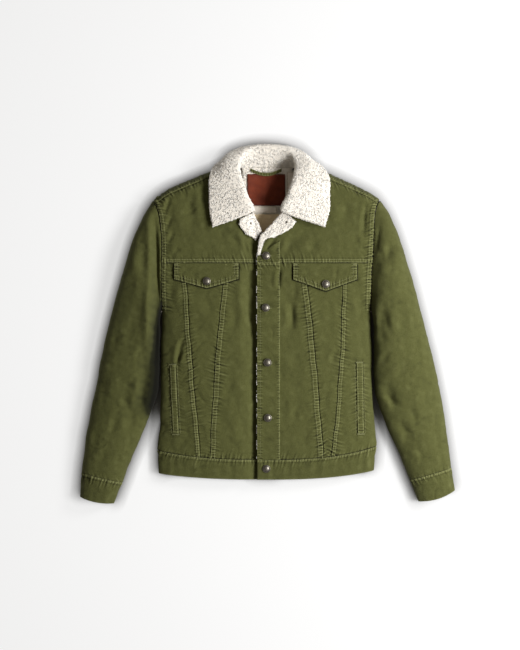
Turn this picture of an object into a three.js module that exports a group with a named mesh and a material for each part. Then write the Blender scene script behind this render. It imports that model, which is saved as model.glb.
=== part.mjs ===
import * as THREE from 'three';

// A men's trucker jacket with a sherpa lining and collar, buttoned up and laid on its back on a flat surface.
// Millimetres. +Z up from the surface, +Y towards the collar, +X towards the wearer's left, which is the front on top.
// The origin is on the surface, under the middle of the jacket.

// Cloth walls. The body's is twill with its sherpa, and the collar's is two layers with their pile.
const BODY_WALL = 5;
const BAND_WALL = 4;
const SLEEVE_WALL = 4;
const COLLAR_WALL = 8;
const LAPEL_WALL = 6;
const LINING_WALL = 6;
const PLACKET_WALL = 2;
const FLAP_WALL = 2.4;
const WELT_WALL = 1.8;
const LABEL_WALL = 1;
const LOOP_WALL = 1.8;
const SEAM_GAP = 0.3;
const ARMHOLE_GAP = 0.6;
const SHOULDER_POINT_GAP = 1.2;

// How the jacket lies.
const SHOULDER_FOLD_Z = 20;
const SHOULDER_FOLD_TOP = 30;
const SHOULDER_FOLD_BELOW = 24;
const SHOULDER_SEAM_FROM_FOLD = 14;
const NECK_HALF_WIDTH = 76;
const SIDE_FOLD_SHARE = 0.45;
const SIDE_ROUND_BELOW = 24;
const CROWN_POWER = 3.5;
const SLEEVE_POWER = 2.3;
const SLEEVE_FLAT_SHARE = 0.6;
const ARMPIT_Y = 26;
const ARMHOLE_TOP_Z = 42;
const ARMHOLE_RISE_TOP = 90;
const ARMHOLE_RISE_BELOW = 60;
const YOKE_SEAM_Y = 131;
const HEM_SEAM_Y = -291.3;

// The placket and the front edge.
const FRONT_EDGE_X = -22;
const UNDER_EDGE_X = 24;
const PLACKET_SEAM_X = 27;
const UNDER_STEP_FROM = -60;
const UNDER_STEP_TO = -25;
const UNDER_DROP = BODY_WALL + 1.2;
const PLACKET_TOP_Y = 144;
const PLACKET_TOP_SLOPE = 0.72;

// Buttons.
const BUTTON_RADIUS = 8.5;
const BUTTON_HEIGHT = 5.2;
const PLACKET_BUTTONS = [
  { x: -2.5, y: 145.8 },
  { x: -3.5, y: 34.8 },
  { x: 0.2, y: -82.4 },
  { x: 1, y: -200.8 },
];
const BAND_BUTTON = { x: -2, y: -310.5 };

const COLOURS = {
  twill: { color: 0x55602f, roughness: 0.9, metalness: 0 },
  sherpa: { color: 0xeee7dc, roughness: 1, metalness: 0 },
  patch: { color: 0x7c3018, roughness: 0.6, metalness: 0 },
  label: { color: 0xe4ddd2, roughness: 0.8, metalness: 0 },
  metal: { color: 0x6e6660, roughness: 0.35, metalness: 0.9 },
};

// How high the front lies over the surface at its crown.
const CROWN = [
  { y: -336, z: 34 },
  { y: -292, z: 40 },
  { y: -200, z: 48 },
  { y: -60, z: 52 },
  { y: 131, z: 52 },
  { y: 250, z: 48 },
  { y: 350, z: 44 },
];

// Half widths of the body, from the hem up the side to the armpit, then along the armhole seam to the shoulder.
const EDGE = {
  left: [
    { y: -336, x: 228.5 },
    { y: -314, x: 230.5 },
    { y: -264, x: 233.7 },
    { y: -250, x: 234.6 },
    { y: -191, x: 229.2 },
    { y: -141, x: 225.4 },
    { y: -43, x: 225.2 },
    { y: 26, x: 222.5 },
    { y: 80, x: 222 },
    { y: 133, x: 225.1 },
    { y: 181, x: 227.9 },
    { y: 234, x: 229.8 },
    { y: 256, x: 235.5 },
    { y: 266.6, x: 243 },
  ],
  right: [
    { y: -336, x: 233 },
    { y: -320, x: 234.4 },
    { y: -278, x: 236.5 },
    { y: -252, x: 234.6 },
    { y: -200, x: 230.8 },
    { y: -142, x: 229.3 },
    { y: -43, x: 228.2 },
    { y: 26, x: 226 },
    { y: 80, x: 227.4 },
    { y: 133, x: 226.8 },
    { y: 181, x: 226.8 },
    { y: 234, x: 232.5 },
    { y: 256, x: 240 },
    { y: 263.2, x: 244.5 },
  ],
};

// The shoulders' fold lines.
const SHOULDER = {
  left: [
    { x: 0, y: 351 },
    { x: 76, y: 346 },
    { x: 127, y: 325.6 },
    { x: 181, y: 302.5 },
    { x: 215, y: 286.5 },
    { x: 243, y: 267 },
    { x: 255, y: 254 },
  ],
  right: [
    { x: 0, y: 351 },
    { x: 76, y: 346.5 },
    { x: 127, y: 327 },
    { x: 181, y: 304.5 },
    { x: 215, y: 289 },
    { x: 244.5, y: 267 },
    { x: 256, y: 252 },
  ],
};

// The sleeves: the outer and inner edge of each section as seen from above, and its height.
const SLEEVE = {
  left: [
    { outerX: 243, outerY: 267, innerX: 223.2, innerY: 26, high: 50 },
    { outerX: 264.5, outerY: 232, innerX: 226.6, innerY: 6, high: 60 },
    { outerX: 285, outerY: 183, innerX: 227.2, innerY: -14, high: 64 },
    { outerX: 302.5, outerY: 127, innerX: 227.8, innerY: -36, high: 64 },
    { outerX: 318.5, outerY: 72, innerX: 228, innerY: -60, high: 62 },
    { outerX: 333, outerY: 17, innerX: 228, innerY: -86, high: 60 },
    { outerX: 346.5, outerY: -35, innerX: 228.3, innerY: -114, high: 58 },
    { outerX: 359, outerY: -84, innerX: 231.5, innerY: -148, high: 56 },
    { outerX: 369.5, outerY: -134, innerX: 244.5, innerY: -188, high: 54 },
    { outerX: 378.8, outerY: -186, innerX: 261.5, innerY: -230, high: 51 },
    { outerX: 388, outerY: -243, innerX: 282.5, innerY: -276, high: 47 },
    { outerX: 396, outerY: -309, innerX: 306.5, innerY: -335, high: 43 },
  ],
  right: [
    { outerX: 244.5, outerY: 266.5, innerX: 226.7, innerY: 26, high: 50 },
    { outerX: 267.5, outerY: 229, innerX: 230.3, innerY: 6, high: 60 },
    { outerX: 289.5, outerY: 178, innerX: 230.8, innerY: -14, high: 64 },
    { outerX: 307, outerY: 123, innerX: 231.2, innerY: -36, high: 64 },
    { outerX: 322.5, outerY: 68, innerX: 231.6, innerY: -60, high: 62 },
    { outerX: 336.5, outerY: 14, innerX: 231.8, innerY: -86, high: 60 },
    { outerX: 350, outerY: -40, innerX: 232.4, innerY: -114, high: 58 },
    { outerX: 361.5, outerY: -94, innerX: 236.5, innerY: -150, high: 56 },
    { outerX: 371.5, outerY: -146, innerX: 250, innerY: -190, high: 54 },
    { outerX: 382, outerY: -200, innerX: 268.5, innerY: -234, high: 51 },
    { outerX: 392, outerY: -258, innerX: 288, innerY: -280, high: 47 },
    { outerX: 399.8, outerY: -320, innerX: 311.5, innerY: -341, high: 43 },
  ],
};
const CUFF_END = {
  left: { outerX: 404.6, outerY: -359, innerX: 325.7, innerY: -383, high: 38 },
  right: { outerX: 404.6, outerY: -372.5, innerX: 331, innerY: -387.2, high: 38 },
};
const CUFF_BOW = { left: 5, right: 3.5 };
const CUFF_LEAN = 0.25;

// The two seams of each front that narrow towards the hem, and those of the back.
const FRONT_SEAMS = {
  left: {
    inner: [{ y: -292, x: 121 }, { y: -216, x: 115 }, { y: -43, x: 100 }, { y: 76, x: 87 }, { y: 131, x: 83 }],
    outer: [{ y: -292, x: 136 }, { y: -216, x: 145 }, { y: -43, x: 157.5 }, { y: 76, x: 161 }, { y: 131, x: 162 }],
  },
  right: {
    inner: [{ y: -292, x: 123.5 }, { y: -153, x: 116 }, { y: -27, x: 107 }, { y: 83, x: 94.5 }, { y: 131, x: 92 }],
    outer: [{ y: -292, x: 142 }, { y: -169, x: 154 }, { y: -75, x: 162 }, { y: 83, x: 173 }, { y: 131, x: 175 }],
  },
};
const BACK_SEAM = [{ y: -292, x: 84 }, { y: -80, x: 104 }, { y: 131, x: 128 }];

// The largest soft folds: the two ends of each trough, its half width and its depth.
const FOLDS = [
  { fromX: 247, fromY: 60, toX: 244, toY: -45, half: 13, deep: 7 },
  { fromX: 246, fromY: -120, toX: 282, toY: -190, half: 12, deep: 7 },
  { fromX: 283, fromY: -205, toX: 305, toY: -255, half: 10, deep: 5 },
  { fromX: 262, fromY: 190, toX: 256, toY: 120, half: 12, deep: 4 },
  { fromX: -247, fromY: 205, toX: -254, toY: 60, half: 15, deep: 8 },
  { fromX: -250, fromY: -20, toX: -262, toY: -150, half: 14, deep: 7 },
  { fromX: -285, fromY: -165, toX: -300, toY: -240, half: 11, deep: 5 },
  { fromX: 205, fromY: 240, toX: 208, toY: 175, half: 8, deep: 3 },
  { fromX: -207, fromY: 262, toX: -205, toY: 190, half: 8, deep: 3.5 },
  { fromX: -160, fromY: 275, toX: -163, toY: 180, half: 9, deep: 2.5 },
  { fromX: 40, fromY: 92, toX: 52, toY: -30, half: 10, deep: 3.5 },
  { fromX: -55, fromY: 75, toX: -44, toY: -80, half: 12, deep: 3 },
];

// Sections of the collar from the middle of the back to the wearer's right front corner. Each has its neck seam, roll,
// the middle of its fall and its outer edge. The other half mirrors it, its leaf `wider` so many times.
const COLLAR = [
  { wider: 1, seam: [0, 338, 4.4], roll: [0, 381, 26], fall: [0, 382.8, 10], edge: [0, 358, 4.4] },
  { wider: 1, seam: [-34, 337.6, 4.7], roll: [-31, 378.5, 27], fall: [-36, 380.5, 11], edge: [-34, 356, 4.5] },
  { wider: 0.97, seam: [-56, 338, 8], roll: [-51, 368, 32], fall: [-63, 375.5, 16], edge: [-59, 355, 5] },
  { wider: 0.97, seam: [-70.5, 342, 20], roll: [-61, 346, 43], fall: [-84, 363, 29], edge: [-89, 352, 11] },
  { wider: 1.02, seam: [-71, 326, 40], roll: [-60, 321, 57], fall: [-91, 335, 52], edge: [-114, 338.5, 31] },
  { wider: 1.07, seam: [-64.5, 301, 45], roll: [-52, 295, 64], fall: [-88, 308, 62], edge: [-124, 311, 53] },
  { wider: 1.07, seam: [-55.5, 277, 46], roll: [-42.5, 269, 65], fall: [-84, 278, 63], edge: [-124.6, 279, 56] },
  { wider: 1.07, seam: [-45.5, 261, 46], roll: [-35, 255, 65], fall: [-80, 252, 63], edge: [-124, 244, 56.5] },
  { wider: 1.05, seam: [-35, 249, 47], roll: [-29.5, 241, 63.5], fall: [-66, 224.5, 61.5], edge: [-117, 207, 57] },
];

// The front edge and neckline that each front yoke ends on, out from the middle to its own side. The wearer's left
// front crosses the middle on top of the right one.
const NECKLINE_ABOVE = [
  { along: 0.55, x: 31.5, y: 240 },
  { along: 0.66, x: 49, y: 256 },
  { along: 0.77, x: 62.5, y: 277 },
  { along: 0.89, x: 71, y: 302 },
  { along: 1, x: NECK_HALF_WIDTH, y: 332 },
];
const NECKLINE = {
  left: [
    { along: 0, x: -22, y: 131 },
    { along: 0.1, x: -22, y: 150 },
    { along: 0.18, x: -20.5, y: 167 },
    { along: 0.27, x: -16.5, y: 185 },
    { along: 0.34, x: -7.5, y: 197 },
    { along: 0.44, x: 9, y: 213 },
    ...NECKLINE_ABOVE,
  ],
  right: [
    { along: 0, x: -24, y: 131 },
    { along: 0.1, x: -22, y: 150 },
    { along: 0.2, x: -8, y: 172 },
    { along: 0.3, x: 9.5, y: 196 },
    { along: 0.42, x: 19, y: 217 },
    ...NECKLINE_ABOVE,
  ],
};

const clamp = (t) => Math.min(1, Math.max(0, t));
const mix = (a, b, t) => a + (b - a) * t;
const smooth = (t) => clamp(t) * clamp(t) * (3 - 2 * clamp(t));
// A quarter circle's rise from 0 to 1.
const roundRise = (t) => Math.sqrt(Math.max(0, 1 - (1 - clamp(t)) ** 2));
// Closes the steps up towards 1, where a surface turns over a fold.
const closeToEnd = (t) => Math.sin((t * Math.PI) / 2);
const closeToBoth = (t) => (1 - Math.cos(t * Math.PI)) / 2;
const sideOf = (x) => (x >= 0 ? 'left' : 'right');
const signOf = (side) => (side === 'left' ? 1 : -1);

// A smooth curve through a table, sorted by the column `by` and read at the column `of`.
function curve(rows, by, of) {
  const at = rows.map((row) => row[by]);
  const value = rows.map((row) => row[of]);
  const slope = at.map((_, i) => {
    const a = Math.max(0, i - 1);
    const b = Math.min(at.length - 1, i + 1);
    return (value[b] - value[a]) / (at[b] - at[a]);
  });
  return (t) => {
    let i = 0;
    while (i < at.length - 2 && t > at[i + 1]) i += 1;
    const step = at[i + 1] - at[i];
    const s = clamp((t - at[i]) / step);
    const s2 = s * s;
    const s3 = s2 * s;
    return (
      (2 * s3 - 3 * s2 + 1) * value[i] +
      (s3 - 2 * s2 + s) * step * slope[i] +
      (3 * s2 - 2 * s3) * value[i + 1] +
      (s3 - s2) * step * slope[i + 1]
    );
  };
}

const crownZ = curve(CROWN, 'y', 'z');
const shoulder = { left: curve(SHOULDER.left, 'x', 'y'), right: curve(SHOULDER.right, 'x', 'y') };
const shoulderY = (x) => shoulder[sideOf(x)](Math.abs(x));
const edgeX = { left: curve(EDGE.left, 'y', 'x'), right: curve(EDGE.right, 'y', 'x') };
const backSeamX = curve(BACK_SEAM, 'y', 'x');

// The hem and the seam above it rise towards the sides.
const HEM_RISE = { left: 19, right: 12 };
const HEM_SEAM_RISE = { left: 27, right: 18 };
const HEM_POWER = 2.6;
const HEM_Y = -334.8;
const HEM_HALF = 232;
const hemY = (x) => HEM_Y + HEM_RISE[sideOf(x)] * Math.abs(x / HEM_HALF) ** HEM_POWER;
const hemSeamY = (x) => HEM_SEAM_Y + HEM_SEAM_RISE[sideOf(x)] * Math.abs(x / HEM_HALF) ** HEM_POWER;

function foldDepth(x, y) {
  let depth = 0;
  for (const f of FOLDS) {
    const dx = f.toX - f.fromX;
    const dy = f.toY - f.fromY;
    const length = Math.hypot(dx, dy);
    const along = ((x - f.fromX) * dx + (y - f.fromY) * dy) / length / length;
    if (along <= 0 || along >= 1) continue;
    const across = ((x - f.fromX) * dy - (y - f.fromY) * dx) / length;
    depth += f.deep * Math.sin(Math.PI * along) * Math.exp(-((across / f.half) ** 2));
  }
  return depth;
}

// Heights of the front and the back along the side fold and the armhole seam.
function edgeTopZ(y) {
  const fold = SIDE_FOLD_SHARE * crownZ(y);
  return mix(fold, ARMHOLE_TOP_Z, roundRise((y - ARMPIT_Y) / ARMHOLE_RISE_TOP));
}
function edgeBottomZ(y) {
  return SIDE_FOLD_SHARE * crownZ(y) * (1 - roundRise((y - ARMPIT_Y) / ARMHOLE_RISE_BELOW));
}

// The outer face of the front, as a height over the surface.
function frontZ(x, y) {
  const reach = Math.min(1, Math.abs(x) / edgeX[sideOf(x)](y));
  const foot = edgeTopZ(y);
  const crown = foot + (crownZ(y) - foot) * Math.sqrt(1 - reach ** CROWN_POWER);
  const fold = roundRise((shoulderY(x) - y) / SHOULDER_FOLD_TOP);
  return SHOULDER_FOLD_Z + (crown - SHOULDER_FOLD_Z) * fold - foldDepth(x, y) * (1 - reach ** 8) * fold;
}

// The outer face of the back, which lies flat but for its folds.
function backZ(x, y) {
  const past = Math.abs(x) - (edgeX[sideOf(x)](y) - SIDE_ROUND_BELOW);
  const side = edgeBottomZ(y) * (1 - roundRise(1 - clamp(past / SIDE_ROUND_BELOW)));
  const below = (shoulderY(x) - y) / SHOULDER_FOLD_BELOW;
  const nearNeck = smooth((Math.abs(x) - 45) / 28);
  const shoulder = SHOULDER_FOLD_Z * (1 - roundRise(below)) * nearNeck;
  return Math.max(side, shoulder);
}

// The wearer's right front steps down under the left one.
const underDrop = (x) => UNDER_DROP * smooth((x - UNDER_STEP_FROM) / (UNDER_STEP_TO - UNDER_STEP_FROM));
const onFront = (side, x, y) =>
  new THREE.Vector3(x, y, frontZ(x, y) - (side === 'right' ? underDrop(x) : 0));
const onBack = (x, y) => new THREE.Vector3(x, y, backZ(x, y));

const STEP = 1e-3;
const MOST_CUT = 0.01;
function slopes(point, u, v) {
  const uA = Math.max(0, u - STEP);
  const uB = Math.min(1, u + STEP);
  const vA = Math.max(0, v - STEP);
  const vB = Math.min(1, v + STEP);
  return {
    alongU: point(uB, v).sub(point(uA, v)).divideScalar(uB - uA),
    alongV: point(u, vB).sub(point(u, vA)).divideScalar(vB - vA),
  };
}
function faceNormal(point, u, v) {
  const { alongU, alongV } = slopes(point, u, v);
  return alongU.cross(alongV).normalize();
}

// A closed wall of cloth: the face point(u, v) moved out by `outside` and by `inside` along its normal.
// `trim` takes half a seam gap off the sides u0, u1, v0 and v1 that it names. `keep(i, j)` leaves cells out, and
// `turned` says that the face's own normal points into the garment.
function wall({ point, cells, outside = 0, inside, trim = [], keep = () => true, turned = false }) {
  const [nu, nv] = cells;
  const sign = turned ? -1 : 1;
  const out = typeof outside === 'function' ? outside : () => outside;
  const inn = typeof inside === 'function' ? inside : () => inside;
  const size = (nu + 1) * (nv + 1);
  const positions = new Float32Array(size * 2 * 3);
  for (let j = 0; j <= nv; j += 1) {
    for (let i = 0; i <= nu; i += 1) {
      const u0 = i / nu;
      const v0 = j / nv;
      const { alongU, alongV } = slopes(point, u0, v0);
      const cutU = Math.min(MOST_CUT, SEAM_GAP / 2 / alongU.length());
      const cutV = Math.min(MOST_CUT, SEAM_GAP / 2 / alongV.length());
      const uLow = trim.includes('u0') ? cutU : 0;
      const uHigh = trim.includes('u1') ? 1 - cutU : 1;
      const vLow = trim.includes('v0') ? cutV : 0;
      const vHigh = trim.includes('v1') ? 1 - cutV : 1;
      const u = mix(uLow, uHigh, u0);
      const v = mix(vLow, vHigh, v0);
      const n = faceNormal(point, u, v).multiplyScalar(sign);
      const at = point(u, v);
      const index = j * (nu + 1) + i;
      at.clone().addScaledVector(n, out(u, v)).toArray(positions, index * 3);
      at.clone().addScaledVector(n, inn(u, v)).toArray(positions, (size + index) * 3);
    }
  }
  const faces = [];
  const quad = (a, b, c, d) => {
    if (turned) faces.push(a, c, b, a, d, c);
    else faces.push(a, b, c, a, c, d);
  };
  const here = (i, j) => i >= 0 && j >= 0 && i < nu && j < nv && keep(i, j);
  for (let j = 0; j < nv; j += 1) {
    for (let i = 0; i < nu; i += 1) {
      if (!here(i, j)) continue;
      const a = j * (nu + 1) + i;
      const b = a + 1;
      const c = b + nu + 1;
      const d = a + nu + 1;
      quad(a, b, c, d);
      quad(size + a, size + d, size + c, size + b);
      if (!here(i, j - 1)) quad(a, size + a, size + b, b);
      if (!here(i + 1, j)) quad(b, size + b, size + c, c);
      if (!here(i, j + 1)) quad(c, size + c, size + d, d);
      if (!here(i - 1, j)) quad(d, size + d, size + a, a);
    }
  }
  const geometry = new THREE.BufferGeometry();
  geometry.setAttribute('position', new THREE.BufferAttribute(positions, 3));
  geometry.setIndex(faces);
  geometry.computeVertexNormals();
  return geometry;
}

const jacket = new THREE.Group();
jacket.name = 'sherpa_lined_jacket';
function add(name, geometry, colour) {
  const mesh = new THREE.Mesh(geometry, new THREE.MeshStandardMaterial(COLOURS[colour]));
  mesh.name = name;
  jacket.add(mesh);
  return mesh;
}

// Columns of a panel: `stops` are sideways places, or functions of the row's y, an equal share of u apart.
function acrossStops(stops, u, y) {
  const at = clamp(u) * (stops.length - 1);
  const i = Math.min(stops.length - 2, Math.floor(at));
  const read = (stop) => (typeof stop === 'function' ? stop(y) : stop);
  return mix(read(stops[i]), read(stops[i + 1]), at - i);
}
// The last columns before a side fold, where the cloth turns down, as shares of the way from `from`.
function towardsFold(from, fold, count) {
  const stops = [];
  for (let i = 1; i <= count; i += 1) {
    stops.push((y) => mix(typeof from === 'function' ? from(y) : from, fold(y), closeToEnd(i / count)));
  }
  return stops;
}

// A panel from the hem seam up to the yoke seam.
function lowerPanel(side, stops, surface) {
  return (u, v) => {
    const row = acrossStops(PANEL_ROWS, v);
    const up = (row - HEM_SEAM_Y) / (YOKE_SEAM_Y - HEM_SEAM_Y);
    let y = row;
    let x = 0;
    for (let i = 0; i < 5; i += 1) {
      x = signOf(side) * acrossStops(stops, u, y);
      y = mix(hemSeamY(x), YOKE_SEAM_Y, up);
    }
    return surface(x, y);
  };
}

// The rows of the panels below the yokes, closer round the armpit.
const PANEL_ROWS = [HEM_SEAM_Y, -262, -225, -187, -150, -112, -76, -42, -12, 8, 26, 40, 56, 76, 102, YOKE_SEAM_Y];
const PANEL_CELLS = PANEL_ROWS.length - 1;
const UNDER_STOPS = [-UNDER_EDGE_X, -UNDER_STEP_TO - 1, -(UNDER_STEP_FROM + UNDER_STEP_TO) / 2, -UNDER_STEP_FROM + 1];
const LAST_STOPS = 7;
function addLowerFronts(side) {
  const inner = curve(FRONT_SEAMS[side].inner, 'y', 'x');
  const outer = curve(FRONT_SEAMS[side].outer, 'y', 'x');
  const start = side === 'left' ? [FRONT_EDGE_X, 3, PLACKET_SEAM_X, 46] : UNDER_STOPS;
  const parts = [
    { name: 'front_centre', stops: [...start, (y) => mix(60, inner(y), 0.35), inner], free: true },
    { name: 'front_wedge', stops: [inner, (y) => mix(inner(y), outer(y), 0.5), outer] },
    { name: 'front_side', stops: [outer, ...towardsFold(outer, edgeX[side], LAST_STOPS)] },
  ];
  for (const p of parts) {
    add(
      `${p.name}_${side}`,
      wall({
        point: lowerPanel(side, p.stops, (x, y) => onFront(side, x, y)),
        cells: [p.stops.length - 1, PANEL_CELLS],
        inside: -BODY_WALL,
        trim: p.free ? ['u1', 'v0', 'v1'] : ['u0', 'u1', 'v0', 'v1'],
        turned: side === 'right',
      }),
      'twill',
    );
  }
}

// The back's three panels below the yoke.
function addLowerBack() {
  const middle = lowerPanel('left', [(y) => -backSeamX(y), backSeamX], onBack);
  add(
    'back_centre',
    wall({ point: middle, cells: [4, PANEL_CELLS], inside: -BODY_WALL, trim: ['u0', 'u1', 'v0', 'v1'], turned: true }),
    'twill',
  );
  for (const side of ['left', 'right']) {
    add(
      `back_side_${side}`,
      wall({
        point: lowerPanel(side, [backSeamX, ...towardsFold(backSeamX, edgeX[side], LAST_STOPS)], onBack),
        cells: [LAST_STOPS, PANEL_CELLS],
        inside: -BODY_WALL,
        trim: ['u0', 'u1', 'v0', 'v1'],
        turned: side === 'left',
      }),
      'twill',
    );
  }
}

// The waistband: the wearer's left front on top, the right front under it, and the back.
const BAND_ROWS = 3;
function addWaistband() {
  const bandY = (x, v) => mix(hemY(x), hemSeamY(x), v);
  const place = (across, v) => {
    let y = mix(HEM_Y, HEM_SEAM_Y, v);
    let x = 0;
    for (let i = 0; i < 5; i += 1) {
      x = across(y);
      y = bandY(x, v);
    }
    return [x, y];
  };
  for (const side of ['left', 'right']) {
    const from = 90;
    const start = side === 'left' ? [FRONT_EDGE_X, 3, PLACKET_SEAM_X, 58] : UNDER_STOPS;
    const stops = [...start, from, ...towardsFold(from, edgeX[side], LAST_STOPS)];
    const point = (u, v) => onFront(side, ...place((y) => signOf(side) * acrossStops(stops, u, y), v));
    add(
      `waistband_front_${side}`,
      wall({
        point,
        cells: [stops.length - 1, BAND_ROWS],
        inside: -BAND_WALL,
        trim: ['u1', 'v1'],
        turned: side === 'right',
      }),
      'twill',
    );
  }
  const back = (u, v) => onBack(...place((y) => mix(-edgeX.right(y), edgeX.left(y), closeToBoth(u)), v));
  add(
    'waistband_back',
    wall({ point: back, cells: [20, BAND_ROWS], inside: -BAND_WALL, trim: ['u0', 'u1', 'v1'], turned: true }),
    'twill',
  );
}

// Where the armhole seam is, so far below the shoulder's fold.
function armholeX(side, belowFold) {
  let x = 240;
  for (let i = 0; i < 12; i += 1) x = edgeX[side](shoulder[side](x) - belowFold);
  return x;
}
const YOKE_SHARES = [0, 0.1, 0.19, 0.28, 0.4, 0.52, 0.65, 0.77, 0.88, 0.96, 1];
const YOKE_COLUMNS = YOKE_SHARES.length - 1;
const FRONT_YOKE_ROWS = 13;

// A front yoke between the yoke seam, the armhole, the shoulder seam and its front edge and neckline.
function frontYokePoint(side) {
  const neckX = curve(NECKLINE[side], 'along', 'x');
  const neckY = curve(NECKLINE[side], 'along', 'y');
  const topX = armholeX(side, SHOULDER_SEAM_FROM_FOLD);
  const topY = shoulder[side](topX) - SHOULDER_SEAM_FROM_FOLD;
  const neck = (v) => new THREE.Vector2(neckX(v), neckY(v));
  const armhole = (v) => {
    const y = mix(YOKE_SEAM_Y, topY, v);
    return new THREE.Vector2(edgeX[side](y), y);
  };
  const bottom = (u) => new THREE.Vector2(mix(neck(0).x, armhole(0).x, u), YOKE_SEAM_Y);
  const top = (u) => {
    const x = mix(neck(1).x, topX, u);
    return new THREE.Vector2(x, shoulder[side](x) - SHOULDER_SEAM_FROM_FOLD);
  };
  return (s, v) => {
    const u = acrossStops(YOKE_SHARES, s);
    const edges = [neck(v), armhole(v), bottom(u), top(u), neck(0), armhole(0), neck(1), armhole(1)];
    const [x, y] = ['x', 'y'].map((k) => {
      const [a, b, c, d, p, q, r, t] = edges.map((e) => e[k]);
      return mix(a, b, u) + mix(c, d, v) - mix(mix(p, q, u), mix(r, t, u), v);
    });
    return onFront(side, signOf(side) * x, y);
  };
}
function addFrontYokes() {
  for (const side of ['left', 'right']) {
    add(
      `front_yoke_${side}`,
      wall({
        point: frontYokePoint(side),
        cells: [YOKE_COLUMNS, FRONT_YOKE_ROWS],
        inside: -BODY_WALL,
        trim: ['u1', 'v0', 'v1'],
        turned: side === 'right',
      }),
      'twill',
    );
  }
}

// The back yoke turns over both shoulders to the front. Its cells in the neck are left out.
const YOKE_ROWS = { fold: 3, below: 4, flat: 6, cutAtNeck: 3 };
const YOKE_NECK_COLUMNS = 6;
function addBackYoke() {
  const rows = YOKE_ROWS.fold + YOKE_ROWS.below + YOKE_ROWS.flat;
  const columns = 2 * YOKE_COLUMNS + YOKE_NECK_COLUMNS;
  const neckShare = YOKE_NECK_COLUMNS / columns;
  const lastY = (side) => {
    const x = armholeX(side, SHOULDER_FOLD_BELOW);
    return shoulder[side](x) - SHOULDER_FOLD_BELOW;
  };
  const point = (u, v) => {
    const row = v * rows;
    const side = u < 0.5 ? 'right' : 'left';
    const flat = clamp((row - YOKE_ROWS.fold - YOKE_ROWS.below) / YOKE_ROWS.flat);
    const onTop = row < YOKE_ROWS.fold;
    const below = clamp((row - YOKE_ROWS.fold) / YOKE_ROWS.below);
    const depth = onTop
      ? SHOULDER_SEAM_FROM_FOLD * (1 - closeToEnd(row / YOKE_ROWS.fold))
      : SHOULDER_FOLD_BELOW * (1 - closeToEnd(1 - below));
    const armX = flat > 0 ? edgeX[side](mix(lastY(side), YOKE_SEAM_Y, flat)) : armholeX(side, depth);
    const out = Math.abs(u - 0.5) * 2;
    const share = (out - neckShare) / (1 - neckShare);
    const x = share <= 0
      ? (out / neckShare) * NECK_HALF_WIDTH
      : mix(NECK_HALF_WIDTH, armX, acrossStops(YOKE_SHARES, share));
    const y = mix(shoulder[side](x) - depth, YOKE_SEAM_Y, flat);
    const across = signOf(side) * x;
    return new THREE.Vector3(across, y, onTop ? frontZ(across, y) : backZ(across, y));
  };
  const neckRows = YOKE_ROWS.fold + YOKE_ROWS.cutAtNeck;
  const keep = (i, j) => j >= neckRows || i < YOKE_COLUMNS || i >= columns - YOKE_COLUMNS;
  add(
    'back_yoke',
    wall({ point, cells: [columns, rows], inside: -BODY_WALL, trim: ['u0', 'u1', 'v0', 'v1'], keep }),
    'twill',
  );
}

// A point of a sleeve's section: w runs from the outer edge to the inner one, over the top or under.
function section(row, sign, w, over) {
  const reach = Math.abs(2 * w - 1);
  const low = SIDE_FOLD_SHARE * row.high;
  const under = clamp((reach - SLEEVE_FLAT_SHARE) / (1 - SLEEVE_FLAT_SHARE));
  const z = over
    ? low + (row.high - low) * Math.sqrt(1 - reach ** SLEEVE_POWER)
    : low * (1 - Math.sqrt(1 - under * under));
  const x = mix(row.outerX, row.innerX, w);
  return new THREE.Vector3(sign * x, mix(row.outerY, row.innerY, w), z);
}
function sleeveRows(side) {
  const rows = SLEEVE[side].map((row, i, all) => ({ ...row, along: i / (all.length - 1) }));
  const read = {};
  for (const key of ['outerX', 'outerY', 'innerX', 'innerY', 'high']) read[key] = curve(rows, 'along', key);
  return (v) => Object.fromEntries(Object.entries(read).map(([key, at]) => [key, at(v)]));
}
const SEAM_FADE = 0.3;
function sleevePoint(side, over) {
  const sign = signOf(side);
  const rowAt = sleeveRows(side);
  const first = rowAt(0);
  const topY = shoulder[side](armholeX(side, 0) + ARMHOLE_GAP + SHOULDER_POINT_GAP);
  const seam = (w) => {
    const y = mix(topY, ARMPIT_Y, w);
    const x = edgeX[side](y) + ARMHOLE_GAP + SHOULDER_POINT_GAP * (1 - w) ** 8;
    return new THREE.Vector3(sign * x, y, over ? frontZ(sign * x, y) : backZ(sign * x, y));
  };
  return (u, v) => {
    const w = closeToBoth(u);
    const p = section(rowAt(v), sign, w, over);
    const fade = (1 - clamp(v / SEAM_FADE)) ** 2;
    if (fade > 0) p.addScaledVector(seam(w).sub(section(first, sign, w, over)), fade);
    if (over) p.z -= foldDepth(p.x, p.y) * (1 - fade) * (1 - Math.abs(2 * w - 1) ** 6);
    return p;
  };
}
const SLEEVE_ROWS = 18;
function addSleeve(side) {
  for (const over of [true, false]) {
    add(
      `sleeve_${over ? 'top' : 'under'}_${side}`,
      wall({
        point: sleevePoint(side, over),
        cells: [12, SLEEVE_ROWS],
        inside: -SLEEVE_WALL,
        trim: ['u0', 'u1', 'v1'],
        turned: over === (side === 'right'),
      }),
      'twill',
    );
  }
}
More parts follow.
